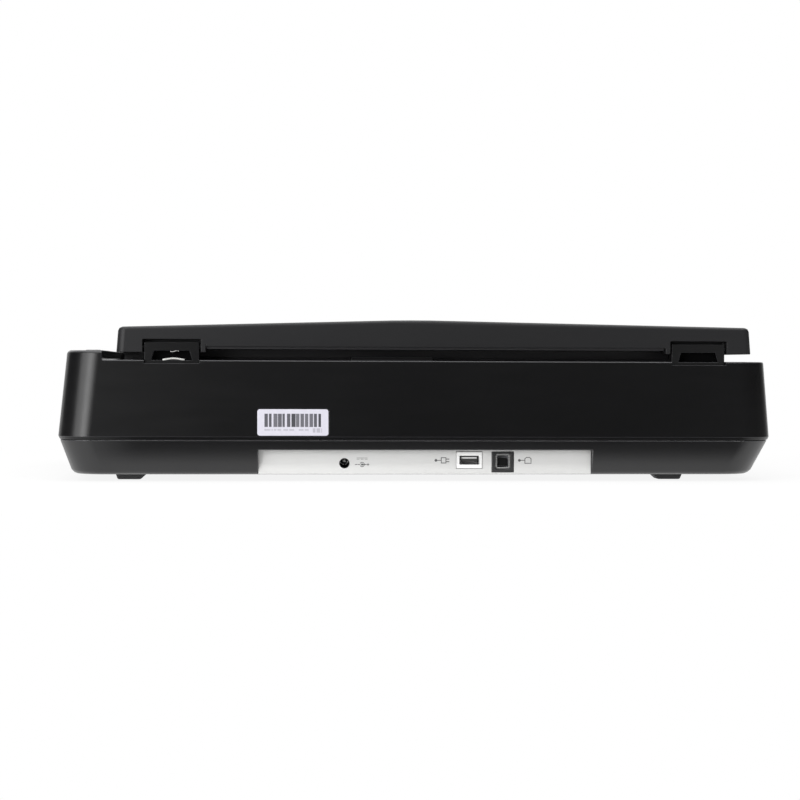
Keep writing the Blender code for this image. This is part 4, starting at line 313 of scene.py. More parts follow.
for name, *recipe in (    # colour, roughness, grain, depth, edge, cloud, gloss
        # the large edge shares of the housing and the tray paint a highlight along their edges
        ("housing", (0.0036, 0.0036, 0.0040, 1), 0.31, 0.7, 0.004, 7, 0.12, 0.42),
        ("lid", (0.0148, 0.0148, 0.0158, 1), 0.44, 0.8, 0.016, 1, 0.12, 0.25),
        ("inner_plastic", (0.022, 0.022, 0.024, 1), 0.46, 0.9, 0.02, 1.6, 0.12, 0.5),
        ("grey_part", (0.20, 0.20, 0.205, 1), 0.45, 0.6, 0.012, 1.2, 0.12, 0.5),
        ("panel", (0.69, 0.69, 0.68, 1), 0.42, 0.5, 0.008, 1.1, 0.05, 0.5),
        ("white_part", (0.80, 0.80, 0.77, 1), 0.40, 0.5, 0.006, 1.05, 0.05, 0.5),
        ("foot", (0.10, 0.10, 0.103, 1), 0.78, 0.45, 0.03, 1.3, 0.25, 0.5),
        ("tray_plastic", (0.0090, 0.0090, 0.0098, 1), 0.31, 0.35, 0.0008, 4, 0.12, 0.68),
        # painted shade: a nearly black, glossless plastic for walls that lie in the dark
        ("unlit_plastic", (0.003, 0.003, 0.0033, 1), 0.8, 0.9, 0.01, 1, 0.12, 0.05),
        ("white_frame", (0.93, 0.93, 0.92, 1), 0.35, 0.5, 0.004, 1, 0.03, 0.5),
        ("socket_plastic", (0.035, 0.035, 0.036, 1), 0.45, 0.5, 0.006, 1.3, 0.12, 0.5)):
    moulded_plastic(name, *recipe)
print("plastics:", sorted(materials))

# %% [markdown]
# ## Metal
#
# Pressed and drawn steel carries fine lines in the direction of drawing. A picture of scratches
# would do it from one side; here noise is stretched along the part, so that the lines are real on
# any side. Sintered bronze is made of pressed grains and looks like fine sand.

# %% Metals
LINES, TARNISH_SPOTS = 900, 60     # in one metre
GRAINS, OIL_SPOTS = 2600, 240
LINE_DEPTH, GRAIN_DEPTH = 0.004 * MM, 0.03 * MM


def drawn_metal(name, colour, rough, stretch, metal):
    finish = Finish(name)
    lines = finish.noise(LINES, 4, stretch)
    tarnish = finish.ramp(finish.noise(TARNISH_SPOTS, 5), 0.35, 0.75)
    return finish.close(Base_Color=finish.mix(colour, toned(colour, 0.72), tarnish),
                        Metallic=metal, Roughness=rough + lines * 0.12 + tarnish * 0.08,
                        Normal=finish.bump(lines, LINE_DEPTH))


def sintered_metal(name, colour):
    finish = Finish(name)
    grains = finish.cells(GRAINS)
    oil = finish.ramp(finish.noise(OIL_SPOTS, 3), 0.4, 0.7)
    return finish.close(Base_Color=finish.mix(colour, toned(colour, 0.5), oil), Metallic=1.0,
                        Roughness=0.34 + grains * 0.3, Normal=finish.bump(grains, GRAIN_DEPTH))


for name, *recipe in (    # colour, roughness, stretch of the lines, share of metal
        ("bright_steel", (0.58, 0.58, 0.60, 1), 0.22, (0.05, 1, 1), 1.0),
        ("silvered", (0.86, 0.87, 0.88, 1), 0.03, (1, 1, 1), 1.0),
        ("nickel", (0.66, 0.66, 0.64, 1), 0.48, (1, 0.3, 1), 0.45),
        # a darkened copy of the steel, which paints the shade inside the wide data socket
        ("dull_steel", (0.16, 0.16, 0.165, 1), 0.5, (1, 0.3, 1), 0.6)):
    drawn_metal(name, *recipe)
sintered_metal("bronze", (0.55, 0.38, 0.18, 1))
print(len(materials), "finishes with the metals")

# %% [markdown]
# ## Glass and circuit boards
#
# The platen glass is float glass, faintly green, and lets the carriage show through. A refracting
# shader would keep the lamps' light out of the housing, so the glass is mostly see-through
# instead, with a thin film of wiping marks. A circuit board is green lacquer over copper: the
# tracks stand a little proud under it and look lighter, and pads of tin are sown between them.

# %% Glass and boards
SMEARS = 18                # in one metre
SEEN_GLASS = 0.13          # share of the light that the glass keeps
TRACKS, PADS = 260, 380    # in one metre
TRACK_EDGE, TRACK_CORE, PAD_RADIUS = 0.10, 0.07, 0.16
COPPER_DEPTH = 0.03 * MM


def platen_glass():
    finish = Finish("glass")
    smears = finish.ramp(finish.noise(SMEARS, 5, (1, 4, 1)), 0.45, 0.8)
    tint = finish.mix((0.03, 0.055, 0.048, 1), (0.07, 0.085, 0.08, 1), smears)
    return finish.close(Base_Color=tint, Roughness=0.03 + smears * 0.05,
                        Alpha=SEEN_GLASS + smears * 0.02, Specular_IOR_Level=1.0)


def lacquered_board():
    finish = Finish("circuit")
    copper = finish.ramp(finish.cells(TRACKS, "DISTANCE_TO_EDGE"), TRACK_EDGE, TRACK_CORE)
    sown = (finish.cells(PADS, scatter=0.0) < PAD_RADIUS) * (finish.noise(120, 1) > 0.52)
    base = finish.mix((0.010, 0.085, 0.035, 1), (0.028, 0.17, 0.075, 1), copper)
    base = finish.mix(base, (0.62, 0.60, 0.56, 1), sown)
    return finish.close(Base_Color=base, Metallic=sown,
                        Roughness=0.34 - sown * 0.1 + finish.noise(90, 3) * 0.1,
                        Normal=finish.bump(copper + sown, COPPER_DEPTH))


print("glass and board:", platen_glass().name, lacquered_board().name)

# %% [markdown]
# ## Film, foam and rubber
#
# The flex cable is amber film with copper lanes one millimetre apart, made by wrapping a length
# round every millimetre. The mat is open foam, whose cells are the distances to scattered points.
# The belt is rubber with a bloom of powder on it.

# %% Soft finishes
LANES = 1000               # in one metre
LANE_START, LANE_END = 0.25, 0.75
FOAM_CELLS, POWDER = 1500, 700
FOAM_DEPTH = 0.15 * MM


def amber_film():
    finish = Finish("ribbon")
    lane = (finish.axis(1) * LANES) % 1.0
    track = (lane > LANE_START) * (lane < LANE_END)
    base = finish.mix((0.50, 0.24, 0.045, 1), (0.68, 0.36, 0.12, 1), track)
    return finish.close(Base_Color=base, Roughness=0.22 + finish.noise(120, 3) * 0.12,
                        Coat_Weight=0.4, Normal=finish.bump(track, 0.02 * MM))


def open_foam():
    finish = Finish("foam")
    cells = finish.cells(FOAM_CELLS)
    base = finish.mix((0.035, 0.035, 0.038, 1), (0.075, 0.075, 0.08, 1),
                      cells * 0.8 + finish.noise(50, 4) * 0.2)
    return finish.close(Base_Color=base, Roughness=0.92, Sheen_Weight=0.2,
                        Normal=finish.bump(cells, FOAM_DEPTH))


def powdered_rubber():
    finish = Finish("belt")
    powder = finish.noise(POWDER, 4)
    base = finish.mix((0.018, 0.018, 0.019, 1), (0.055, 0.055, 0.056, 1),
                      finish.ramp(powder, 0.5, 0.8))
    return finish.close(Base_Color=base, Roughness=0.7 + powder * 0.2,
                        Normal=finish.bump(powder, 0.02 * MM))


print("soft:", amber_film().name, open_foam().name, powdered_rubber().name)

# %% [markdown]
# ## Lamp tube and power light
#
# The carriage's lamp is a glass tube with white powder inside, so it is milky under a clear coat.
# The lens over the power light glows a little by itself, because it is lit from below.

# %% Lamp finishes
def milky_tube():
    finish = Finish("milky_tube")
    swirl = finish.noise(40, 3, (1, 0.1, 1))
    base = finish.mix((0.80, 0.83, 0.84, 1), (0.70, 0.74, 0.76, 1), swirl)
    return finish.close(Base_Color=base, Roughness=0.08 + swirl * 0.08, Coat_Weight=0.6,
                        Normal=finish.bump(swirl, 0.01 * MM))


def lens_glow(name, colour):
    finish = Finish(name)
    depth = finish.noise(400, 2)
    base = finish.mix(colour, toned(colour, 0.7), depth)
    return finish.close(Base_Color=base, Roughness=0.12 + depth * 0.06, Coat_Weight=0.5,
                        Emission_Color=base, Emission_Strength=0.25)


materials["lamp_tube"] = milky_tube()
lens_glow("green_lens", (0.12, 0.55, 0.16, 1))

# %% [markdown]
# ## Ink and paper
#
# Marks are printed in plain inks, and the sticker on the rear wall is coated paper with upright
# bars. The bars say nothing: they stand in even columns, and a random number gives each its width
# and its tone, so they can't be read as a code. A row of dashes and a short block, which say
# nothing either, stand under them.

# %% Inks
# Two of these inks are painted shade, not print: the dark films on the tongues of the data sockets
# and on the screw heads.
def print_and_shade_ink(name, shade):
    finish = Finish(name)
    spread = finish.noise(1800, 3)
    return finish.close(Base_Color=finish.mix(grey(shade), grey(shade * 1.3), spread),
                        Roughness=0.6 + spread * 0.1, Normal=finish.bump(spread, 0.004 * MM),
                        Specular_IOR_Level=0.15)


for name, shade in (("grey_ink", 0.15), ("painted_dark_shade", 0.006), ("painted_tongue_shade", 0.05),
                    ("pale_ink", 0.55)):
    print_and_shade_ink(name, shade)
print(len(materials), "finishes with the inks")

# %% Sticker
BAR_START, BAR_END, BARS_ACROSS = 0.10, 0.90, 15.8    # along the sticker, as shares of its width
BAR_FOOT, BAR_TOP = 0.33, 0.83                        # upward, as shares of its height
BAR_WIDTH, WIDTH_CHANGE, TONE_CHANGE = 0.52, 0.42, 0.2
LETTERS_ACROSS = 60
DASH_SEED, TONE_SEED = 7, 31
DASH_INK, BLOCK_INK = 0.3, 0.35


def barred_paper(low, high):
    """Coated paper with bars and dashes; low and high are the sticker's corners."""
    finish = Finish("barred_paper")

    def within(value, first, last):
        return (value > first) * (value < last)

    along = finish.ramp(finish.axis(0), high.x, low.x)
    upward = finish.ramp(finish.axis(2), low.z, high.z)
    column = (along - BAR_START) * BARS_ACROSS
    bars = (column % 1.0) < BAR_WIDTH + finish.chance(column) * WIDTH_CHANGE
    bars = bars * within(along, BAR_START, BAR_END) * within(upward, BAR_FOOT, BAR_TOP)
    letters = finish.chance(along * LETTERS_ACROSS, DASH_SEED)
    dashes = (letters > 0.25) * within(upward, 0.19, 0.25) * within(along, 0.09, 0.72)
    block = (letters > 0.2) * within(upward, 0.12, 0.28) * within(along, 0.78, 0.91)
    tone = finish.chance(column, TONE_SEED) * TONE_CHANGE + (1 - TONE_CHANGE)
    printed = bars * tone + dashes * DASH_INK + block * BLOCK_INK
    fibre = finish.noise(700, 5)
    paper = finish.mix((0.58, 0.57, 0.63, 1), (0.51, 0.50, 0.57, 1), fibre)
    base = finish.mix(paper, (0.045, 0.045, 0.055, 1), printed)
    return finish.close(Base_Color=base, Roughness=0.34 + fibre * 0.12,
                        Normal=finish.bump(fibre, 0.006 * MM))


materials["rear_label"] = barred_paper(*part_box("rear_label"))
print("sticker:", materials["rear_label"].name)

# %% [markdown]
# ## Softened edges
#
# A drawing's edges are sharp, a moulding's are not: every edge has a small radius, which catches a
# thin line of light. Drawing the radius into the CAD would cost it thousands of faces, so it is
# added here. Flat faces that the CAD split into triangles are joined first, or the bevel would
# also round the lines between them.

# %% A clean copy of a CAD mesh
WELD = 0.002 * MM
FLAT_ANGLE = math.radians(0.6)


def joined_mesh(source, name):
    """A copy of a mesh with doubles welded and flat faces joined, clear of leftover normals."""
    work = bmesh.new()
    work.from_mesh(source)
    bmesh.ops.remove_doubles(work, verts=work.verts, dist=WELD)
    bmesh.ops.dissolve_limit(work, angle_limit=FLAT_ANGLE, verts=work.verts, edges=work.edges)
    for face in work.faces:
        face.smooth = True
        face.material_index = 0
    mesh = bpy.data.meshes.new(name)
    work.to_mesh(mesh)
    work.free()
    leftover = ("custom_normal", "sharp_edge", "sharp_face")
    for layer in [layer.name for layer in mesh.attributes if layer.name in leftover]:
        mesh.attributes.remove(mesh.attributes[layer])
    while mesh.uv_layers:
        mesh.uv_layers.remove(mesh.uv_layers[0])
    return mesh


print("a foot's CAD mesh:", len(frame["nodes"]["foot_left_rear"].data.polygons), "faces")

# %% [markdown]
# ## Room for a radius
#
# One width for all edges folds the mesh over where a wall is thinner than the radius. Blender can
# clamp the whole bevel to the tightest place, but then all of it nearly disappears. So each edge
# gets its own share of the radius: as much as the faces on its two sides have room for.

# %% Bevel weights
HARD_ANGLE = math.radians(28)    # sharper edges than this are rounded
ROOM_SHARE = 0.42
SAME_WAY = 0.94                  # cosine over which two edges count as one line


def weigh_edges(mesh, radius, ease):
    """Gives each hard edge its share of the radius. Ease makes it less at a place."""
    work = bmesh.new()
    work.from_mesh(mesh)
    layer = work.edges.layers.float.new("bevel_weight_edge")
    for edge in work.edges:
        if len(edge.link_faces) != 2 or edge.calc_face_angle(0) < HARD_ANGLE:
            continue
        start, end = (corner.co for corner in edge.verts)
        along = (end - start).normalized()
        rooms = []
        for loop in edge.link_loops:
            inward = loop.face.normal.cross(along)
            rooms.append(max(abs((corner.co - start).dot(inward)) for corner in loop.face.verts))
            for side in (loop.link_loop_next.edge, loop.link_loop_prev.edge):
                way = (side.verts[1].co - side.verts[0].co).normalized()
                if abs(way.dot(along)) < SAME_WAY:
                    rooms.append(side.calc_length())
        share = min(1.0, ROOM_SHARE * min(rooms) / (radius * MM))
        edge[layer] = share * (ease((start + end) / 2) if ease else 1)
    work.to_mesh(mesh)
    work.free()


print("edges over", round(math.degrees(HARD_ANGLE)), "degrees are rounded")

# %% [markdown]
# ## The rounding
#
# The bevel gives its own faces a second material slot, and that is turned into the edge mask that
# the plastics read. Normals weighted by face size keep the big walls flat between their rounded
# edges, where plain smooth shading would draw a soft pillow.

# %% Rounding
FLAT_WEIGHT = 50
BLANK = bpy.data.materials.new("blank")


def settled(piece):
    """Applies a piece's modifiers."""
    graph = bpy.context.evaluated_depsgraph_get()
    shape = bpy.data.meshes.new_from_object(piece.evaluated_get(graph), depsgraph=graph,
                                            preserve_all_data_layers=True)
    piece.modifiers.clear()
    piece.data = shape


def mark_edges(mesh):
    """Turns the bevel's material slot into the edge mask."""
    mask = mesh.attributes.new("edge", "FLOAT", "FACE")
    mask.data.foreach_set("value", [float(face.material_index == 1) for face in mesh.polygons])
    for face in mesh.polygons:
        face.material_index = 0


def rounded(piece, radius, steps=2, ease=None):
    """Rounds a piece's hard edges by a radius in millimetres."""
    weigh_edges(piece.data, radius, ease)
    piece.data.materials.clear()
    for _ in range(2):
        piece.data.materials.append(BLANK)
    bevel = piece.modifiers.new("radius", "BEVEL")
    bevel.width = radius * MM
    bevel.segments = steps
    bevel.limit_method = "WEIGHT"
    bevel.use_clamp_overlap = False
    bevel.miter_outer = "MITER_ARC"
    bevel.material = 1
    piece.modifiers.new("flatten", "WEIGHTED_NORMAL").weight = FLAT_WEIGHT
    settled(piece)
    mark_edges(piece.data)
    piece.data.materials.clear()
    return piece


print("faces weigh", FLAT_WEIGHT, "of 100 by their size in the shading")

# %% [markdown]
# ## Dressing a piece
#
# Every piece needs a finish, a body to ride on and a slot of the record. One helper gives the first
# two. It takes the body from the CAD node that the piece sits on, so no body's name is repeated.

# %% Dress
def dress(piece, finish, node):
    """Gives a piece a finish and lets it ride with a CAD node."""
    piece.data.materials.clear()
    piece.data.materials.append(materials[finish])
    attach(piece, bodies[node])
    return piece


# %% [markdown]
# ## Which node gets which radius
#
# Big mouldings have radii of half a millimetre and more, thin ones less. The cover's edges stay
# nearly sharp along the seam and in the wells of the hinges, where two parts meet closely.

# %% Radii
radii = {
    "lower_housing": 0.6, "upper_housing": 0.9, "lid_shell": 0.35, "lid_inner_panel": 0.4,
    "platen_bezel": 0.25, "usb_device_port": 0.4, "usb_host_port": 0.35,
    "hinge_leg_left": 0.2, "hinge_leg_right": 0.2, "transport_lock": 0.3,
    "power_button": 0.35, "file_button": 0.35, "mail_button": 0.35, "copy_button": 0.35,
    "scan_button": 0.35, "foot_left_front": 0.7, "foot_left_rear": 0.7,
    "foot_right_front": 0.7, "foot_right_rear": 0.7, "carriage_housing": 0.4,
    "carriage_cover": 0.3, "belt_clamp": 0.3, "bushing_block": 0.4, "rod_holder_left": 0.4,
    "rod_holder_right": 0.4, "tensioner_bracket": 0.3, "calibration_strip": 0.1,
    "mat_sheet": 0.15, "stepper_motor": 0.4, "motor_bracket": 0.2, "guide_rod": 0.4,
}
own_finish = {
    "lower_housing": "tray_plastic", "usb_device_port": "socket_plastic",
    "hinge_leg_left": "housing", "hinge_leg_right": "housing", "usb_host_port": "white_frame",
}
print(len(radii), "nodes have a radius,", len(own_finish), "of them a finish of their own")

# %% Rounded copies of the nodes
SEAM_EDGE, WELL_EDGE = 0.22, 0.25    # shares of the radius along the seam and in the wells
SEAM_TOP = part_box("lower_housing")[1].z + 3 * MM
WELL_ENDS = [(low.x - 3 * MM, high.x + 3 * MM)
             for low, high in (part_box("hinge_leg_left"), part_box("hinge_leg_right"))]
WELL_FRONT = 0.8 * cad_high.y


def cover_ease(place):
    """How much of its radius an edge of the cover keeps."""
    if place.z < SEAM_TOP:
        return SEAM_EDGE
    in_well = any(low < place.x < high for low, high in WELL_ENDS) and place.y > WELL_FRONT
    return WELL_EDGE if in_well else 1


shown = {}
for node, radius in radii.items():
    name = node + "_moulding"
    piece = added(name, joined_mesh(frame["nodes"][node].data, name))
    rounded(piece, radius, ease=cover_ease if node == "upper_housing" else None)
    dress(piece, own_finish.get(node, slots[node]), node)
    shown[node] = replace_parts(piece, node)
print(len(shown), "nodes rounded:", sum(len(p.data.polygons) for p in shown.values()), "faces")

# %% [markdown]
# ## Unlit walls
#
# The gap beside the lid and the low stop under its rear edge lie in the dark. A studio's wide lamps
# would still find them, so their walls get a nearly black, rough finish with almost no gloss, which
# is painted shade. It is a second material on the cover, given to the faces that lie there.

# %% Gap and stop
GAP_REACH = 9.0 * MM       # how far the gap's walls go to the right of the lid
GAP_RISE = 0.6 * MM
STOP_REACH = 60.0 * MM     # half the length of the stop
STOP_DEPTH = 25.0 * MM
STOP_RISE = 0.35 * MM


def shade_gaps(piece):
    """Gives the walls of the gap and the stop the unlit finish; returns how many faces."""
    piece.data.materials.append(materials["unlit_plastic"])
    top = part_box("platen_bezel")[1].z
    lid_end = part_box("lid_shell")[1]
    count = 0
    for face in piece.data.polygons:
        x, y, z = face.center
        beside = lid_end.x - 0.2 * MM < x < lid_end.x + GAP_REACH and z > top + GAP_RISE
        under = abs(x) < STOP_REACH and y > lid_end.y - STOP_DEPTH and z > top + STOP_RISE
        if beside or under:
            face.material_index = 1
            count += 1
    return count


print("unlit:", shade_gaps(shown["upper_housing"]), "faces")

# %% [markdown]
# ## Nodes that keep their CAD shape
#
# Plates, boards, mirrors, wheels and screws are right as drawn. They only change their material:
# the finish of their own name if there is one, or else that of their slot.

# %% Finishes on CAD nodes
for node, thing in frame["nodes"].items():
    if node not in shown:
        for place in thing.material_slots:
            place.material = materials.get(node, materials[slots[node]])
print(len(bodies) - len(shown), "nodes keep their shape and take a finish")

# %% [markdown]
# ## Marks, as thin films
#
# The marks on the control band and beside the sockets are printed. A mask in the plastic's
# material could draw them, but it would be tied to one place of one piece. A film of ink is made
# instead: flat outlines on the surface, a tenth of a millimetre thick, which can be read from any
# side and are carried along by what they are printed on.

# %% Film
REARWARD = (Vector((-1, 0, 0)), Vector((0, 0, 1)))    # across and up on a face that looks rearward
UPWARD = (Vector((1, 0, 0)), Vector((0, 1, 0)))
DOWNWARD = (Vector((1, 0, 0)), Vector((0, -1, 0)))
FLUSH = 0.01 * MM    # how deep a film starts under its surface
INK = 0.08


def middle(node, **fixed):
    """The middle of a node's box, with x, y or z replaced where they are given."""
    low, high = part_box(node)
    place = (low + high) / 2
    for axis, value in fixed.items():
        setattr(place, axis, value)
    return place


def new_piece(name, work):
    """A piece from bmesh geometry, with all faces turned outward."""
    bmesh.ops.recalc_face_normals(work, faces=work.faces)
    mesh = bpy.data.meshes.new(name)
    work.to_mesh(mesh)
    work.free()
    return added(name, mesh)


def film(name, outlines, origin, facing, thick=INK):
    """Flat outlines, each a list of (across, up) in millimetres from the origin, on a face."""
    across, over = facing
    outward = across.cross(over)
    work = bmesh.new()
    for outline in outlines:
        low, high = [[work.verts.new(Vector(origin) + (across * u + over * v + outward * lift) * MM)
                      for u, v in outline] for lift in (0, thick)]
        work.faces.new(low[::-1])
        work.faces.new(high)
        for n in range(len(outline)):
            after = (n + 1) % len(outline)
            work.faces.new((low[n], low[after], high[after], high[n]))
    return new_piece(name, work)


print("films are", INK, "mm thick")

# %% [markdown]
# ## Strokes
#
# A pictogram is drawn with a pen of one width: straight strokes, arcs and discs. Each is a closed
# outline, so the film needs no boolean sum where two strokes cross.

# %% Outlines
LINE = 0.35


def bar(u0, v0, u1, v1, width=LINE):
    """A straight stroke from one point to another."""
    along = Vector((u1 - u0, v1 - v0)).normalized()
    side = Vector((-along.y, along.x)) * width / 2
    start, end = Vector((u0, v0)) - along * width / 2, Vector((u1, v1)) + along * width / 2
    return [tuple(corner) for corner in (start - side, end - side, end + side, start + side)]


def strokes(points, width=LINE, closed=True):
    """Strokes from point to point."""
    pairs = zip(points, points[1:] + points[:1]) if closed else zip(points, points[1:])
    return [bar(*first, *second, width) for first, second in pairs]


def rim(u, v, radius, turns):
    return [(u + radius * math.cos(turn), v + radius * math.sin(turn)) for turn in turns]


def arc(u, v, radius, start, end, width=LINE, steps=28):
    """A stroke along a circle, from one angle to another in degrees."""
    turns = [math.radians(start + (end - start) * n / steps) for n in range(steps + 1)]
    return [rim(u, v, radius + width / 2, turns) + rim(u, v, radius - width / 2, turns[::-1])]


def disc(u, v, radius, steps=20):
    return [rim(u, v, radius, [2 * math.pi * n / steps for n in range(steps)])]


def oblong(u, v, width, height):
    """The corners of a rectangle about a middle."""
    return [(u + side * width / 2, v + end * height / 2)
            for side, end in ((-1, -1), (1, -1), (1, 1), (-1, 1))]


def round_corners(width, height, radius, steps=6):
    """A rectangle with rounded corners, about its middle."""
    points = []
    for corner, (u, v) in enumerate(((1, 1), (-1, 1), (-1, -1), (1, -1))):
        turns = [math.radians(90 * corner + 90 * n / steps) for n in range(steps + 1)]
        points += rim(u * (width / 2 - radius), v * (height / 2 - radius), radius, turns)
    return points


print("a stroke has", len(bar(0, 0, 1, 0)), "corners")

# %% [markdown]
# ## Marks on the buttons
#
# Four buttons start a job and one switches the power. They carry a folder, an envelope, two
# sheets, a sheet with a scan line, and the common sign for power.

# %% Button marks
MARKS = {
    "file_button": strokes([(-2.6, -1.9), (2.6, -1.9), (2.6, 1.4), (0.2, 1.4), (-0.4, 2.1),
                            (-2.6, 2.1)]),
    "mail_button": strokes(oblong(0, 0, 5.4, 3.6))
    + strokes([(-2.7, 1.8), (0, -0.4), (2.7, 1.8)], closed=False),
    "copy_button": strokes(oblong(-0.9, -0.7, 3, 4))
    + strokes([(-0.2, 2.2), (-0.2, 2.8), (2.5, 2.8), (2.5, -1.3), (1.5, -1.3)], closed=False),
    "scan_button": strokes([(-1.7, -2.3), (1.7, -2.3), (1.7, 1.2), (0.6, 2.3), (-1.7, 2.3)])
    + [bar(-2.9, 0, 2.9, 0, 0.5)],
    "power_button": arc(0, 0, 2.1, 125, 415, 0.45) + [bar(0, 0.7, 0, 2.6, 0.45)],
}
for node, outlines in MARKS.items():
    top = middle(node, z=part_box(node)[1].z - FLUSH)
    dress(film(node + "_mark", outlines, top, UPWARD), "pale_ink", node)
print("marks on", list(MARKS))

# %% [markdown]
# ## Marks beside the sockets
#
# The power socket has the sign for its polarity, pin inside and sleeve outside, under the sign for
# direct current: a line over three dashes. The two data sockets have a plug with a cable, wide and
# flat for one, square for the other.

# %% Socket marks
PANEL_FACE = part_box("connector_panel")[1].y
MARK_HEIGHT = 13.4 * MM
POLARITY_DROP = 2.7 * MM
MARK_INK = 0.06


def level_bars(*runs):
    """Level strokes, each (from, to, height, width)."""
    return [bar(u0, v, u1, v, width) for u0, u1, v, width in runs]


polarity = (arc(0, 0, 1.4, -150, 150, 0.45) + disc(0, 0, 0.7)
            + level_bars((0, 2.6, 0, 0.45), (-2.6, -1.5, 0, 0.45), (3.2, 4.4, 0, 0.45))
            + [bar(3.8, -0.6, 3.8, 0.6, 0.45)]
            + level_bars((-4.4, -3.3, 0, 0.45), (-3.4, 3.4, 4.2, 0.25), (-3.4, -1.8, 3.4, 0.25),
                         (-0.8, 0.8, 3.4, 0.25), (1.8, 3.4, 3.4, 0.25)))
cable = disc(-4.0, 0, 0.9) + [bar(-4.0, 0, -0.6, 0, 0.5)]
wide_plug = (cable + strokes(oblong(1.0, 0, 3.0, 3.4), 0.5)
             + level_bars((3.0, 4.4, 0.8, 0.6), (3.0, 4.4, -0.8, 0.6)))
square_plug = cable + strokes([(-0.4, -1.9), (3.6, -1.9), (3.6, 1.0), (2.6, 1.9), (0.6, 1.9),
                               (-0.4, 1.0)], 0.5)
for name, outlines, node, step, drop in (    # step to the picture's right of a socket's middle
        ("polarity_mark", polarity, "dc_jack", 11.4 * MM, POLARITY_DROP),
        ("host_mark", wide_plug, "usb_host_port", -17.6 * MM, 0),
        ("device_mark", square_plug, "usb_device_port", 14.8 * MM, 0)):
    place = middle(node, y=PANEL_FACE - FLUSH, z=MARK_HEIGHT) - Vector((step, 0, drop))
    dress(film(name, outlines, place, REARWARD, MARK_INK), "grey_ink", "connector_panel")
print("socket marks stand on y =", round(PANEL_FACE / MM, 2), "mm")

# %% [markdown]
# ## The ruler round the window
#
# Ticks along two sides of the window show where a sheet ends, every fifth one longer, and an arrow
# in the corner shows where it starts. They are strokes on the bezel.

# %% Ruler
TICK_STEP, TICK_LINE = 10, 0.22    # millimetres
RULE = 5                           # every fifth tick is a longer one
BEZEL_WIDTH = 4.6
TICKS_ACROSS, TICKS_DOWN = 29, 21
SHORT_TICK, LONG_TICK = 1.5, 2.6


def ruler_marks():
    """The ticks and the arrow, as one piece."""
    low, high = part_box("platen_bezel")
    x, y = high.x / MM - BEZEL_WIDTH, high.y / MM - BEZEL_WIDTH
    outlines = []
    for across, ticks in ((True, TICKS_ACROSS), (False, TICKS_DOWN)):
        for count in range(1, ticks + 1):
            step, reach = count * TICK_STEP, SHORT_TICK if count % RULE else LONG_TICK
            start, way = ((x - step, y), (0, reach)) if across else ((x, y - step), (reach, 0))
            outlines.append(bar(*start, start[0] + way[0], start[1] + way[1], TICK_LINE))
    outlines.append([(x + 0.2, y + 0.2), (x + 3.2, y + 1.3), (x + 1.3, y + 3.2)])
    return film("ruler_marks", outlines, (0, 0, high.z - FLUSH), UPWARD, 0.05)


ruler = dress(ruler_marks(), "pale_ink", "platen_bezel")
print(len(ruler.data.vertices), "points in the ruler")

# %% [markdown]
# ## Turned parts
#
# Round parts, such as the metal pin and sleeve of the power socket or the lens over the power
# light, are made the way a lathe makes them: a profile goes round an axis. A stock cylinder would
# have sharp rims and a flat end.

# %% Lathe
RING_POINTS = 32


def turned(name, profile, place, axis, steps=RING_POINTS):
    """A profile of (radius, along) in millimetres, turned about an axis through a place."""
    axis = Vector(axis)
    side = axis.orthogonal().normalized()
    other = axis.cross(side)
    turns = [2 * math.pi * n / steps for n in range(steps)]
    work = bmesh.new()
    rings = []
    for radius, along in profile:
        centre = Vector(place) + axis * along * MM
        spokes = [side * math.cos(t) + other * math.sin(t) for t in turns] if radius else [side]
        rings.append([work.verts.new(centre + spoke * radius * MM) for spoke in spokes])
    for first, second in zip(rings, rings[1:]):
        for n in range(steps):
            corners = [first[n % len(first)], first[(n + 1) % len(first)],
                       second[(n + 1) % len(second)], second[n % len(second)]]
            work.faces.new(list(dict.fromkeys(corners)))
    for face in work.faces:
        face.smooth = True
    return new_piece(name, work)


print("a ring has", RING_POINTS, "points unless a piece is very small")

# %% Pin, sleeve and light
JACK_DEPTH = 7.0
LIGHT_PLACE = (0.21435, 0.0150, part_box("control_panel")[1].z)
jack_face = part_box("dc_jack")[1].y
dress(turned("jack_pin", [(0, 0), (1.02, 0), (1.02, 4.2), (0.98, 4.5), (0.8, 4.9), (0.45, 5.15),
                          (0, 5.2)], middle("dc_jack", y=jack_face - JACK_DEPTH * MM), (0, 1, 0)),
      "nickel", "dc_jack")
dress(turned("power_light", [(1.5, -0.05), (1.5, 0.1), (1.15, 0.16), (1.1, 0.22), (0.9, 0.42),
                             (0.5, 0.55), (0, 0.6)], LIGHT_PLACE, (0, 0, 1)),
      "green_lens", "control_panel")
dress(turned("jack_sleeve", [(2.55, -JACK_DEPTH), (2.55, -2.4), (2.3, -2.4), (2.25, -2.7),
                             (2.25, -JACK_DEPTH)], middle("dc_jack", y=jack_face), (0, 1, 0)),
      "nickel", "dc_jack")
print("the socket's pin stands", JACK_DEPTH, "mm deep")

# %% [markdown]
# ## Inside the data sockets
#
# A data socket is a folded metal sleeve with a plastic tongue in it, and the tongue carries the
# contacts. From behind one sees the sleeve's lip, its dark inside and the end of the tongue. The
# sleeve is drawn as strokes round the opening that are as deep as the sleeve, which needs no
# boolean cut and keeps the walls open. The dark inside is painted shade: the wide socket's sleeve
# is a darkened steel, and a dark film on the end of each tongue paints the shade there.

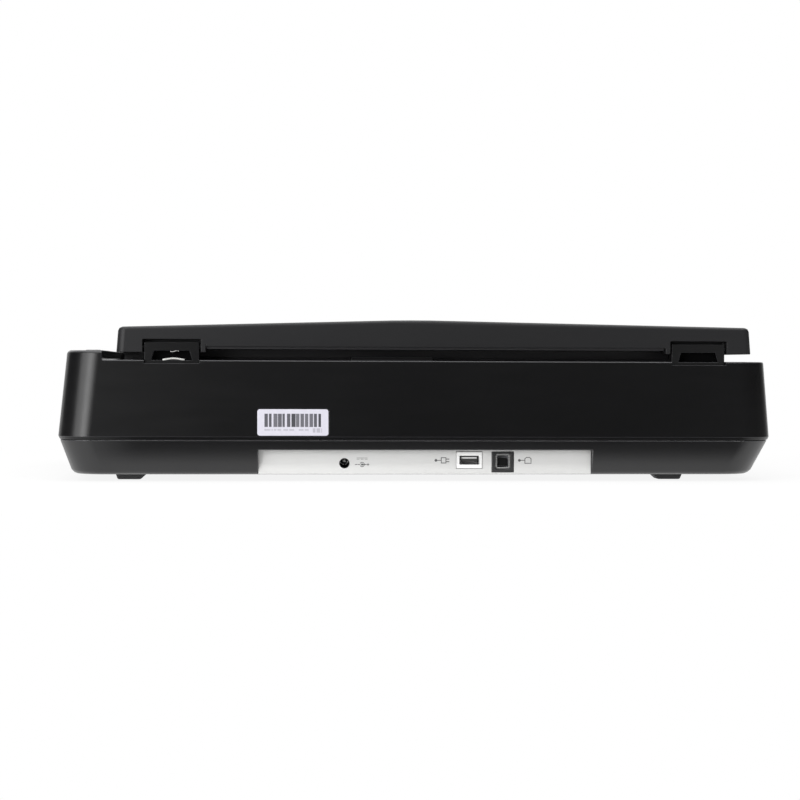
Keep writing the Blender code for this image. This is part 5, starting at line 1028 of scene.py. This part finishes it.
# %% Socket sleeves
SLEEVE_SETBACK = 0.1
TONGUE_SETBACK = 1.78
for name, node, wide, tall, deep, line, metal in (
        ("host_sleeve", "usb_host_port", 12.1, 5.2, 9.0, 0.35, "dull_steel"),
        ("device_lip", "usb_device_shell", 8.6, 8.8, 1.2, 0.8, "nickel")):
    place = middle(node, y=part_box(node)[1].y - (deep + SLEEVE_SETBACK) * MM)
    walls = strokes(oblong(0, 0, wide, tall), line)
    dress(film(name, walls, place, REARWARD, deep), metal, node)
for node, wide, tall, shade, slot in (
        ("usb_host_port", 10.7, 2.0, "painted_tongue_shade", "white_part"),
        ("usb_device_port", 6.0, 5.0, "painted_dark_shade", "inner_plastic")):
    place = middle(node, y=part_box(node)[1].y - TONGUE_SETBACK * MM)
    end = film(node + "_tongue_face", [round_corners(wide, tall, 0.3, 3)], place, REARWARD, 0.05)
    dress(end, shade, node)
print("tongues end", TONGUE_SETBACK, "mm behind their sockets' faces")

# %% [markdown]
# ## Screw heads
#
# Four screws hold the tray to the cover, sunk in from below. A recess that is cut into so small a
# head wouldn't show its depth, so a cross of painted shade on the head stands for it.

# %% Screw recesses
ARM, ARM_WIDTH = 1.6, 0.35    # reach and half width
quarter = [(-ARM_WIDTH, -ARM), (ARM_WIDTH, -ARM), (ARM_WIDTH, -ARM_WIDTH)]
cross = quarter + [(-v, u) for u, v in quarter] + [(-u, -v) for u, v in quarter]
cross += [(v, -u) for u, v in quarter]
screws = [node for node in bodies if node.startswith("screw_")]
for node in screws:
    place = middle(node, z=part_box(node)[0].z + 2 * FLUSH)
    dress(film(node + "_recess_shade", [cross], place, DOWNWARD, 0.05), "painted_dark_shade", node)
print("a cross recess on", len(screws), "screws")

# %% [markdown]
# ## The hinge spring
#
# A leaf of spring steel stands in the window of the hinge beside the control band. It pushes on
# the hinge pin, so that the lid stays open at any angle, and it is the one bright thing in the
# rear slit. A leaf is a bent strip: its bend is a list of points, and each point gets the width
# and the thickness of the steel. A small clip over it is made the same way.

# %% Hinge leaf
LEAF_STEPS, LEAF_REACH, LEAF_HEIGHT, LEAF_BOW = 14, 7.0, 77.9, 0.5
CLIP_STEPS, CLIP_HEIGHT, CLIP_BOW = 8, 83.0, 0.35


def bent_strip(name, bends, width, thick):
    """A strip along points (x, y, z) in millimetres, wide along y about its middle."""
    work = bmesh.new()
    rows = []
    for n, bend in enumerate(bends):
        before, after = Vector(bends[max(n - 1, 0)]), Vector(bends[min(n + 1, len(bends) - 1)])
        out = (after - before).normalized().cross(Vector((0, 1, 0))).normalized() * thick / 2
        side = Vector((0, width / 2, 0))
        rows.append([work.verts.new((Vector(bend) + corner) * MM)
                     for corner in (-side - out, side - out, side + out, out - side)])
    for first, second in zip(rows, rows[1:]):
        for n in range(4):
            work.faces.new((first[n], first[(n + 1) % 4], second[(n + 1) % 4], second[n]))
    work.faces.new(rows[0][::-1])
    work.faces.new(rows[-1])
    return new_piece(name, work)


leg_low, leg_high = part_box("hinge_leg_right")
leg_x, leg_y = (leg_low.x + leg_high.x) / 2 / MM, leg_high.y / MM
leaf = []
for n in range(LEAF_STEPS + 1):
    share = 2 * n / LEAF_STEPS - 1
    leaf.append((leg_x - 1.2 + share * LEAF_REACH, leg_y - 2.6,
                 LEAF_HEIGHT + LEAF_BOW * math.cos(share * 2.4)))
clip = [(leg_x - 4.6 + n * 0.8, leg_y - 1.6, CLIP_HEIGHT + CLIP_BOW * math.sin(n * 0.9))
        for n in range(CLIP_STEPS)]
for name, bends, width, thick, radius in (("hinge_leaf", leaf, 4.2, 1.1, 0.12),
                                          ("hinge_clip", clip, 2.0, 0.5, 0.1)):
    piece = rounded(bent_strip(name, bends, width, thick), radius, 1)
    dress(piece, "nickel", "hinge_leg_right")
print("leaf", 2 * LEAF_REACH, "mm long")

# %% [markdown]
# ## Webs behind the hinge windows
#
# The window of each leg is closed at its front by a thin web, which keeps dust and light out of the
# hinge. In the picture it makes the windows black. The web is a dark sheet in the unlit finish,
# which paints it as shade.

# %% Webs
WINDOW_SILL = 76.9 * MM
WEB_HEIGHT = 6.4
POST, TAPER = 2.5, 1.5    # what the leg's posts and the window's slanted ends take from the width
for node in ("hinge_leg_left", "hinge_leg_right"):
    low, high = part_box(node)
    half = (high.x - low.x) / MM / 2 - POST
    web = [(-half, 0), (half, 0), (half - TAPER, WEB_HEIGHT), (TAPER - half, WEB_HEIGHT)]
    place = middle(node, y=low.y + 0.1 * MM, z=WINDOW_SILL)
    dress(film(node.replace("leg", "web"), [web], place, REARWARD, 0.5), "unlit_plastic", node)
print("webs", WEB_HEIGHT, "mm high")

# %% [markdown]
# ## The lid's rear lip
#
# Between the hinges the lid's outer shell ends in a lip that covers the joint with the inner
# panel. The CAD leaves a groove there. The lip is one thin moulded strip, with the same finish as
# the lid.

# %% Rear lip
LIP_HEIGHT, LIP_DEPTH = 2.0, 1.2
LIP_PLACE = (0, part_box("lid_shell")[1].y - 1.25 * MM, 86.1 * MM)
lip_ends = (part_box("hinge_leg_left")[1].x / MM + 2.6, leg_low.x / MM - 4.4)
lip_face = [(-lip_ends[1], 0), (-lip_ends[0], 0), (-lip_ends[0], LIP_HEIGHT),
            (-lip_ends[1], LIP_HEIGHT)]
lip = rounded(film("lid_rear_lip", [lip_face], LIP_PLACE, REARWARD, LIP_DEPTH), 0.3)
dress(lip, "lid", "lid_shell")
print("lip", round(lip_ends[1] - lip_ends[0]), "mm long")

# %% [markdown]
# ## The foam mat
#
# Under the lid a pad of open foam presses the sheet on the glass. A slab from a block of foam isn't
# a box: where the knife let it go its rims spring back and round off, its sides pull in between the
# corners, and its free face is a little crowned. A cloth simulation would puff it up like a
# cushion, so it is one grid of points for each face, shaped by those three rules.

# %% Foam
FOAM_COLUMNS, FOAM_ROWS = 40, 30
FOAM_PULL = 1.4       # how far the sides pull in at their middle, in millimetres
FOAM_CROWN = 0.45
FOAM_RIM = 3.0
RIM_DEPTH = 0.62      # share of the thickness that is left at the rim
FOAM_GAP = 0.2


def foam_point(u, v, half):
    """A point of the upper face for u and v from -1 to 1, in millimetres from the middle."""
    x = u * (half.x - FOAM_GAP - FOAM_PULL * (1 - v * v) * abs(u) ** 6)
    y = v * (half.y - FOAM_GAP - FOAM_PULL * (1 - u * u) * abs(v) ** 6)
    inside = min(half.x * (1 - abs(u)), half.y * (1 - abs(v)), FOAM_RIM) / FOAM_RIM
    round_off = math.sqrt(max(0.0, 1 - (1 - inside) ** 2))
    depth = (half.z - FOAM_CROWN) * (RIM_DEPTH + (1 - RIM_DEPTH) * round_off)
    return Vector((x, y, depth + FOAM_CROWN * (1 - u * u) * (1 - v * v)))


def foam_pad():
    low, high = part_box("document_mat")
    centre, half = (low + high) / 2, (high - low) / 2 / MM
    work = bmesh.new()
    borders = []
    for side in (-1, 1):
        rows = [[foam_point(2 * column / FOAM_COLUMNS - 1, 2 * row / FOAM_ROWS - 1, half)
                 for column in range(FOAM_COLUMNS + 1)] for row in range(FOAM_ROWS + 1)]
        rows = [[work.verts.new(centre + Vector((point.x, point.y, side * point.z)) * MM)
                 for point in row] for row in rows]
        for near, far in zip(rows, rows[1:]):
            for n in range(FOAM_COLUMNS):
                work.faces.new((near[n], near[n + 1], far[n + 1], far[n]))
        borders.append(rows[0] + [row[-1] for row in rows[1:]] + rows[-1][-2::-1]
                       + [row[0] for row in rows[-2:0:-1]])
    under, over = borders
    for n in range(len(under)):
        after = (n + 1) % len(under)
        work.faces.new((under[n], under[after], over[after], over[n]))
    for face in work.faces:
        face.smooth = True
    return new_piece("foam_mat", work)


foam_mat = dress(foam_pad(), "foam", "document_mat")
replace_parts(foam_mat, "document_mat")
print("foam mat:", len(foam_mat.data.polygons), "faces")

# %% [markdown]
# ## The toothed belt
#
# The carriage is pulled by a belt with fine teeth inside. Its path is a stadium round two pulleys:
# two straight runs and two half circles. A function gives the point and the outward direction at
# any length along the path, and the teeth are points that step in and out as the length grows.

# %% Belt
TOOTH_PITCH = 2.0
TOOTH_DEPTH = 0.45
BELT_THICKNESS = 1.0
TOOTH_STEPS = ((0.0, TOOTH_DEPTH), (0.35, TOOTH_DEPTH), (0.5, 0.0), (0.85, 0.0))


def loop_point(length, ends, inner):
    """Place on the loop, seen from its middle line, and the outward direction there."""
    straight, bend = ends[1] - ends[0], math.pi * inner
    length %= 2 * (straight + bend)
    right_side = length < straight + bend
    length -= 0 if right_side else straight + bend
    way = 1 if right_side else -1
    if length < straight:
        x = ends[0] + length if right_side else ends[1] - length
        return Vector((x, 0, 0)), Vector((0, way, 0))
    turn = way * math.pi / 2 - (length - straight) / inner
    return Vector((ends[right_side], 0, 0)), Vector((math.cos(turn), math.sin(turn), 0))


def toothed_belt():
    """The belt and the number of its teeth."""
    low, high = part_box("drive_belt")
    outer = (high.y - low.y) / 2 / MM
    inner = outer - BELT_THICKNESS
    ends = (low.x / MM + outer, high.x / MM - outer)
    around = 2 * (ends[1] - ends[0] + math.pi * inner)
    teeth = round(around / TOOTH_PITCH)
    base = Vector((0, (high.y + low.y) / 2 / MM, 0))
    work = bmesh.new()
    rows = []
    for tooth in range(teeth):
        for share, lift in TOOTH_STEPS:
            place, out = loop_point((tooth + share) * around / teeth, ends, inner)
            near, far = base + place + out * (inner + lift), base + place + out * outer
            rows.append([work.verts.new((point.x * MM, point.y * MM, z))
                         for point, z in ((near, low.z), (far, low.z), (far, high.z),
                                          (near, high.z))])
    for first, second in zip(rows, rows[1:] + rows[:1]):
        for side in range(4):
            after = (side + 1) % 4
            work.faces.new((first[side], second[side], second[after], first[after]))
    return new_piece("toothed_belt", work), teeth


belt, teeth = toothed_belt()
dress(belt, "belt", "drive_belt")
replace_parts(belt, "drive_belt")
print(teeth, "teeth on the belt")

# %% [markdown]
# ## What stands on the main board
#
# The board can be seen through the glass when the lid is up. Its chips are cases of black epoxy
# with bent tin legs, and beside them stand the cans of capacitors, rows of small resistors and a
# white header for the motor's wires. They could be drawn in the board's finish, but light falls on
# them from the side, so they are solid.

# %% Board parts
BOARD_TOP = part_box("main_board")[1].z - 1.62 * MM
CHIPS = ((-46.4, 109.6, 19.1, 14.6), (-5.0, 107.9, 23.9, 17.2), (34.9, 113.9, 15.9, 9.5))
LEG_PITCH = 1.27
CANS = ((58.0, 96.0), (66.0, 96.0), (58.0, 104.5), (66.0, 104.5), (50.0, 96.0))
CAN_POINTS = 24
CAN_PROFILE = [(0, 0), (3.0, 0), (3.0, 0.5), (2.8, 0.8), (3.0, 1.1), (3.0, 4.4), (2.8, 4.7),
               (2.5, 4.75), (0, 4.7)]
RESISTOR_ROWS, RESISTORS_IN_ROW = (91.5, 94.3, 97.1), 12
HEADER_X, HEADER_Y = 18.0, 124.0

cases = [oblong(x, y, width + 0.2, depth + 0.2) for x, y, width, depth in CHIPS]
legs = [oblong(x - width / 2 + (n + 0.5) * LEG_PITCH, y + side * (depth / 2 + 0.7), 0.5, 1.6)
        for x, y, width, depth in CHIPS for n in range(int(width / LEG_PITCH)) for side in (-1, 1)]
rows = [(9.2 * n - 66 + 2.2 * math.sin(2.7 * n + 1.9 * row), y)
        for row, y in enumerate(RESISTOR_ROWS) for n in range(RESISTORS_IN_ROW)]
chip_grey, tin = ("inner_plastic", "inner_plastic"), ("nickel", "bright_steel")
for name, outlines, thick, (finish, slot) in (
        ("chip_cases", cases, 1.7, chip_grey),
        ("chip_legs", legs, 0.35, tin),
        ("resistors", [oblong(x, y, 1.6, 1.2) for x, y in rows], 0.5, chip_grey),
        ("resistor_ends", [oblong(x + side * 1.05, y, 0.5, 1.25) for x, y in rows
                           for side in (-1, 1)], 0.5, tin),
        ("wire_header", [oblong(HEADER_X, HEADER_Y, 20, 5.2)], 3.6, ("white_part", "white_part")),
        ("header_pins", [oblong(HEADER_X - 8.75 + 2.5 * n, HEADER_Y, 0.7, 0.7)
                         for n in range(8)], 4.4, tin)):
    piece = film(name, outlines, (0, 0, BOARD_TOP), UPWARD, thick)
    dress(piece, finish, "main_board")
for number, (x, y) in enumerate(CANS):
    piece = turned("capacitor_%d" % (number + 1), CAN_PROFILE, (x * MM, y * MM, BOARD_TOP),
                   (0, 0, 1), CAN_POINTS)
    dress(piece, "nickel", "main_board")
print(len(cases) + len(rows) + len(CANS) + 1, "parts on the main board")

# %% [markdown]
# ## The plate underneath
#
# A plate of thin metal film with rounded corners is stuck to the tray's underside, between the
# feet. It stays blank.

# %% Plate
tray_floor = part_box("lower_housing")[0].z
PLATE_WIDTH, PLATE_DEPTH, PLATE_CORNER = 58, 34, 2.5
PLATE_X, PLATE_Y = -35 * MM, -20 * MM
outline = round_corners(PLATE_WIDTH, PLATE_DEPTH, PLATE_CORNER)
plate = film("rating_plate", [outline], (PLATE_X, PLATE_Y, tray_floor + FLUSH), DOWNWARD, 0.12)
dress(plate, "bright_steel", "lower_housing")
print("plate at z =", round(tray_floor / MM, 2), "mm")

# %% [markdown]
# ## The floor
#
# The ground of the picture is white because the floor and the world look white to the camera and
# in reflections, not because of more light, and the floor still takes the scanner's shadow. Behind
# the scanner it is black in reflections, as if a dark cloth lay there, which keeps the light
# ground out of the rear wall. The cloth ends short of the corners, which keep their highlights.

# %% Floor
FLOOR_REACH = 14.0
FLOOR_DROP = 0.05 * MM
SEEN_SHARE = 0.87       # how white the floor looks close to the scanner, where its shadow falls
SHADOW_REACH = 0.30
CLOTH_START, CLOTH_END = 0.002, 0.015    # distances from the rear wall over which it begins
CLOTH_SIDES = ((0.224, 0.183), (-0.242, -0.216))    # where it ends on either side, fading


def from_middle(finish, number, half):
    """How far outside the scanner's length or depth a place on the floor is, in metres."""
    away = finish.node("Math", {"operation": "ABSOLUTE"}, {0: finish.axis(number)})
    return finish.node("Math", {"operation": "MAXIMUM"}, {0: away - half, 1: 0.0})


def studio_floor():
    finish = Finish("studio_floor")
    lit = finish.node("BsdfDiffuse", None,
                      {"Color": finish.mix(grey(0.88), grey(0.86), finish.noise(6, 3))})
    away = from_middle(finish, 0, cad_high.x) + from_middle(finish, 1, cad_high.y)
    seen, mirrored = finish.rays()
    cloth = finish.ramp(finish.axis(1), cad_high.y + CLOTH_START, cad_high.y + CLOTH_END)
    for edge, inner in CLOTH_SIDES:
        cloth = cloth * finish.ramp(finish.axis(0), edge, inner)
    shade = finish.mix(grey(1), grey(0.03), cloth * mirrored)
    white = finish.node("Emission", None, {"Color": shade, "Strength": 1.0})
    near = finish.ramp(away, 0, SHADOW_REACH) * (1 - SEEN_SHARE) + SEEN_SHARE
    surface = finish.node("MixShader", None, {0: seen * near + mirrored, 1: lit, 2: white})
    finish.node("OutputMaterial", None, {"Surface": surface})
    return finish.material


def staged(name, corners, faces, finish):
    """A piece of the studio, which isn't part of the scanner."""
    mesh = bpy.data.meshes.new(name)
    mesh.from_pydata(corners, [], faces)
    mesh.materials.append(finish)
    piece = added(name, mesh)
    piece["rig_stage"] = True
    return piece


square = [(u, v, -FLOOR_DROP) for u, v in oblong(0, 0, 2 * FLOOR_REACH, 2 * FLOOR_REACH)]
staged("floor", square, [(0, 1, 2, 3)], studio_floor())
print("floor", 2 * FLOOR_REACH, "m wide")

# %% [markdown]
# ## The curtain
#
# Black plastic shows its surroundings rather than its own colour, so a studio lights a black
# machine with what it reflects. A dark curtain round the camera's side keeps the rear wall black.
# It shows only in reflections, and it gets thinner upwards and to the front, so that no hard edge
# is mirrored.

# %% Curtain
CURTAIN_RADIUS = 2.4
CURTAIN_HEIGHT, FADE_START = 2.4, 1.0
FADE_FRONT, FADE_REAR = -2.05, -1.2
CURTAIN_TURN = 150      # degrees to either side of the camera
PANELS = 30


def curtain_cloth():
    finish = Finish("dark_curtain")
    fade = (finish.ramp(finish.axis(2), CURTAIN_HEIGHT, FADE_START)
            * finish.ramp(finish.axis(1), FADE_FRONT, FADE_REAR))
    weave = finish.mix(grey(0.003), grey(0.006), finish.noise(300, 2))
    return finish.close(Base_Color=weave, Roughness=0.95, Alpha=fade)


corners = []
for number in range(PANELS + 1):
    turn = math.radians(CURTAIN_TURN * (2 * number / PANELS - 1))
    x, y = CURTAIN_RADIUS * math.sin(turn), CURTAIN_RADIUS * math.cos(turn)
    corners += [(x, y, 0.01), (x, y, CURTAIN_HEIGHT)]
faces = [(2 * n, 2 * n + 2, 2 * n + 3, 2 * n + 1) for n in range(PANELS)]
curtain = staged("dark_curtain", corners, faces, curtain_cloth())
curtain.visible_camera = False
curtain.visible_diffuse = False
curtain.visible_shadow = False
print("curtain of", len(faces), "panels")

# %% [markdown]
# ## Lamps and world
#
# One wide soft lamp hangs overhead and a flat one over the rear wall. A tall lamp beside the
# machine and a smaller one behind it draw the bright line down its rounded corner. The world gives
# a soft light from all sides, and looks white to the camera and in reflections.

# %% Lamps and world
WORLD_STRENGTH = 0.38


def soft_lamp(name, place, aim, size, power):
    lamp = added(name, bpy.data.lights.new(name, "AREA"))
    lamp.data.shape = "RECTANGLE"
    lamp.data.size, lamp.data.size_y = size
    lamp.data.energy = power
    lamp.location = place
    lamp.rotation_euler = (Vector(aim) - Vector(place)).to_track_quat("-Z", "Y").to_euler()


soft_lamp("overhead_lamp", (0.0, 0.0, 1.6), (0, 0, 0), (2.2, 1.8), 18)
soft_lamp("corner_lamp", (1.14, 0.96, 0.40), (0.2, 0.12, 0.05), (0.8, 1.1), 10)
soft_lamp("side_lamp", (0.88, 1.38, 0.35), (0.15, 0.14, 0.06), (0.5, 0.7), 7.0)
soft_lamp("rear_lamp", (0.0, 1.25, 1.75), (0, 0.14, 0.08), (2.6, 0.35), 18)


def studio_world():
    sky = Finish("studio", bpy.data.worlds.new("studio"))
    seen, mirrored = sky.rays()
    lit, white = [sky.node("Background", None, {"Color": grey(1), "Strength": strength})
                  for strength in (WORLD_STRENGTH, 1.0)]
    shown_sky = sky.node("MixShader", None, {0: seen + mirrored, 1: lit, 2: white})
    sky.node("OutputWorld", None, {"Surface": shown_sky})
    return sky.material


bpy.context.scene.world = studio_world()
bpy.context.scene.view_settings.view_transform = "Standard"
print("lamps:", [lamp.name for lamp in bpy.data.lights])

# %% [markdown]
# ## Sizes, and the end
#
# The last cell prints how much the dressed scanner's box grew over the CAD model's.

# %% Sizes before and after
low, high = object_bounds()
print("grew by", [round((new - old) / MM, 2) for new, old in zip(high - low, cad_high - cad_low)],
      "mm")
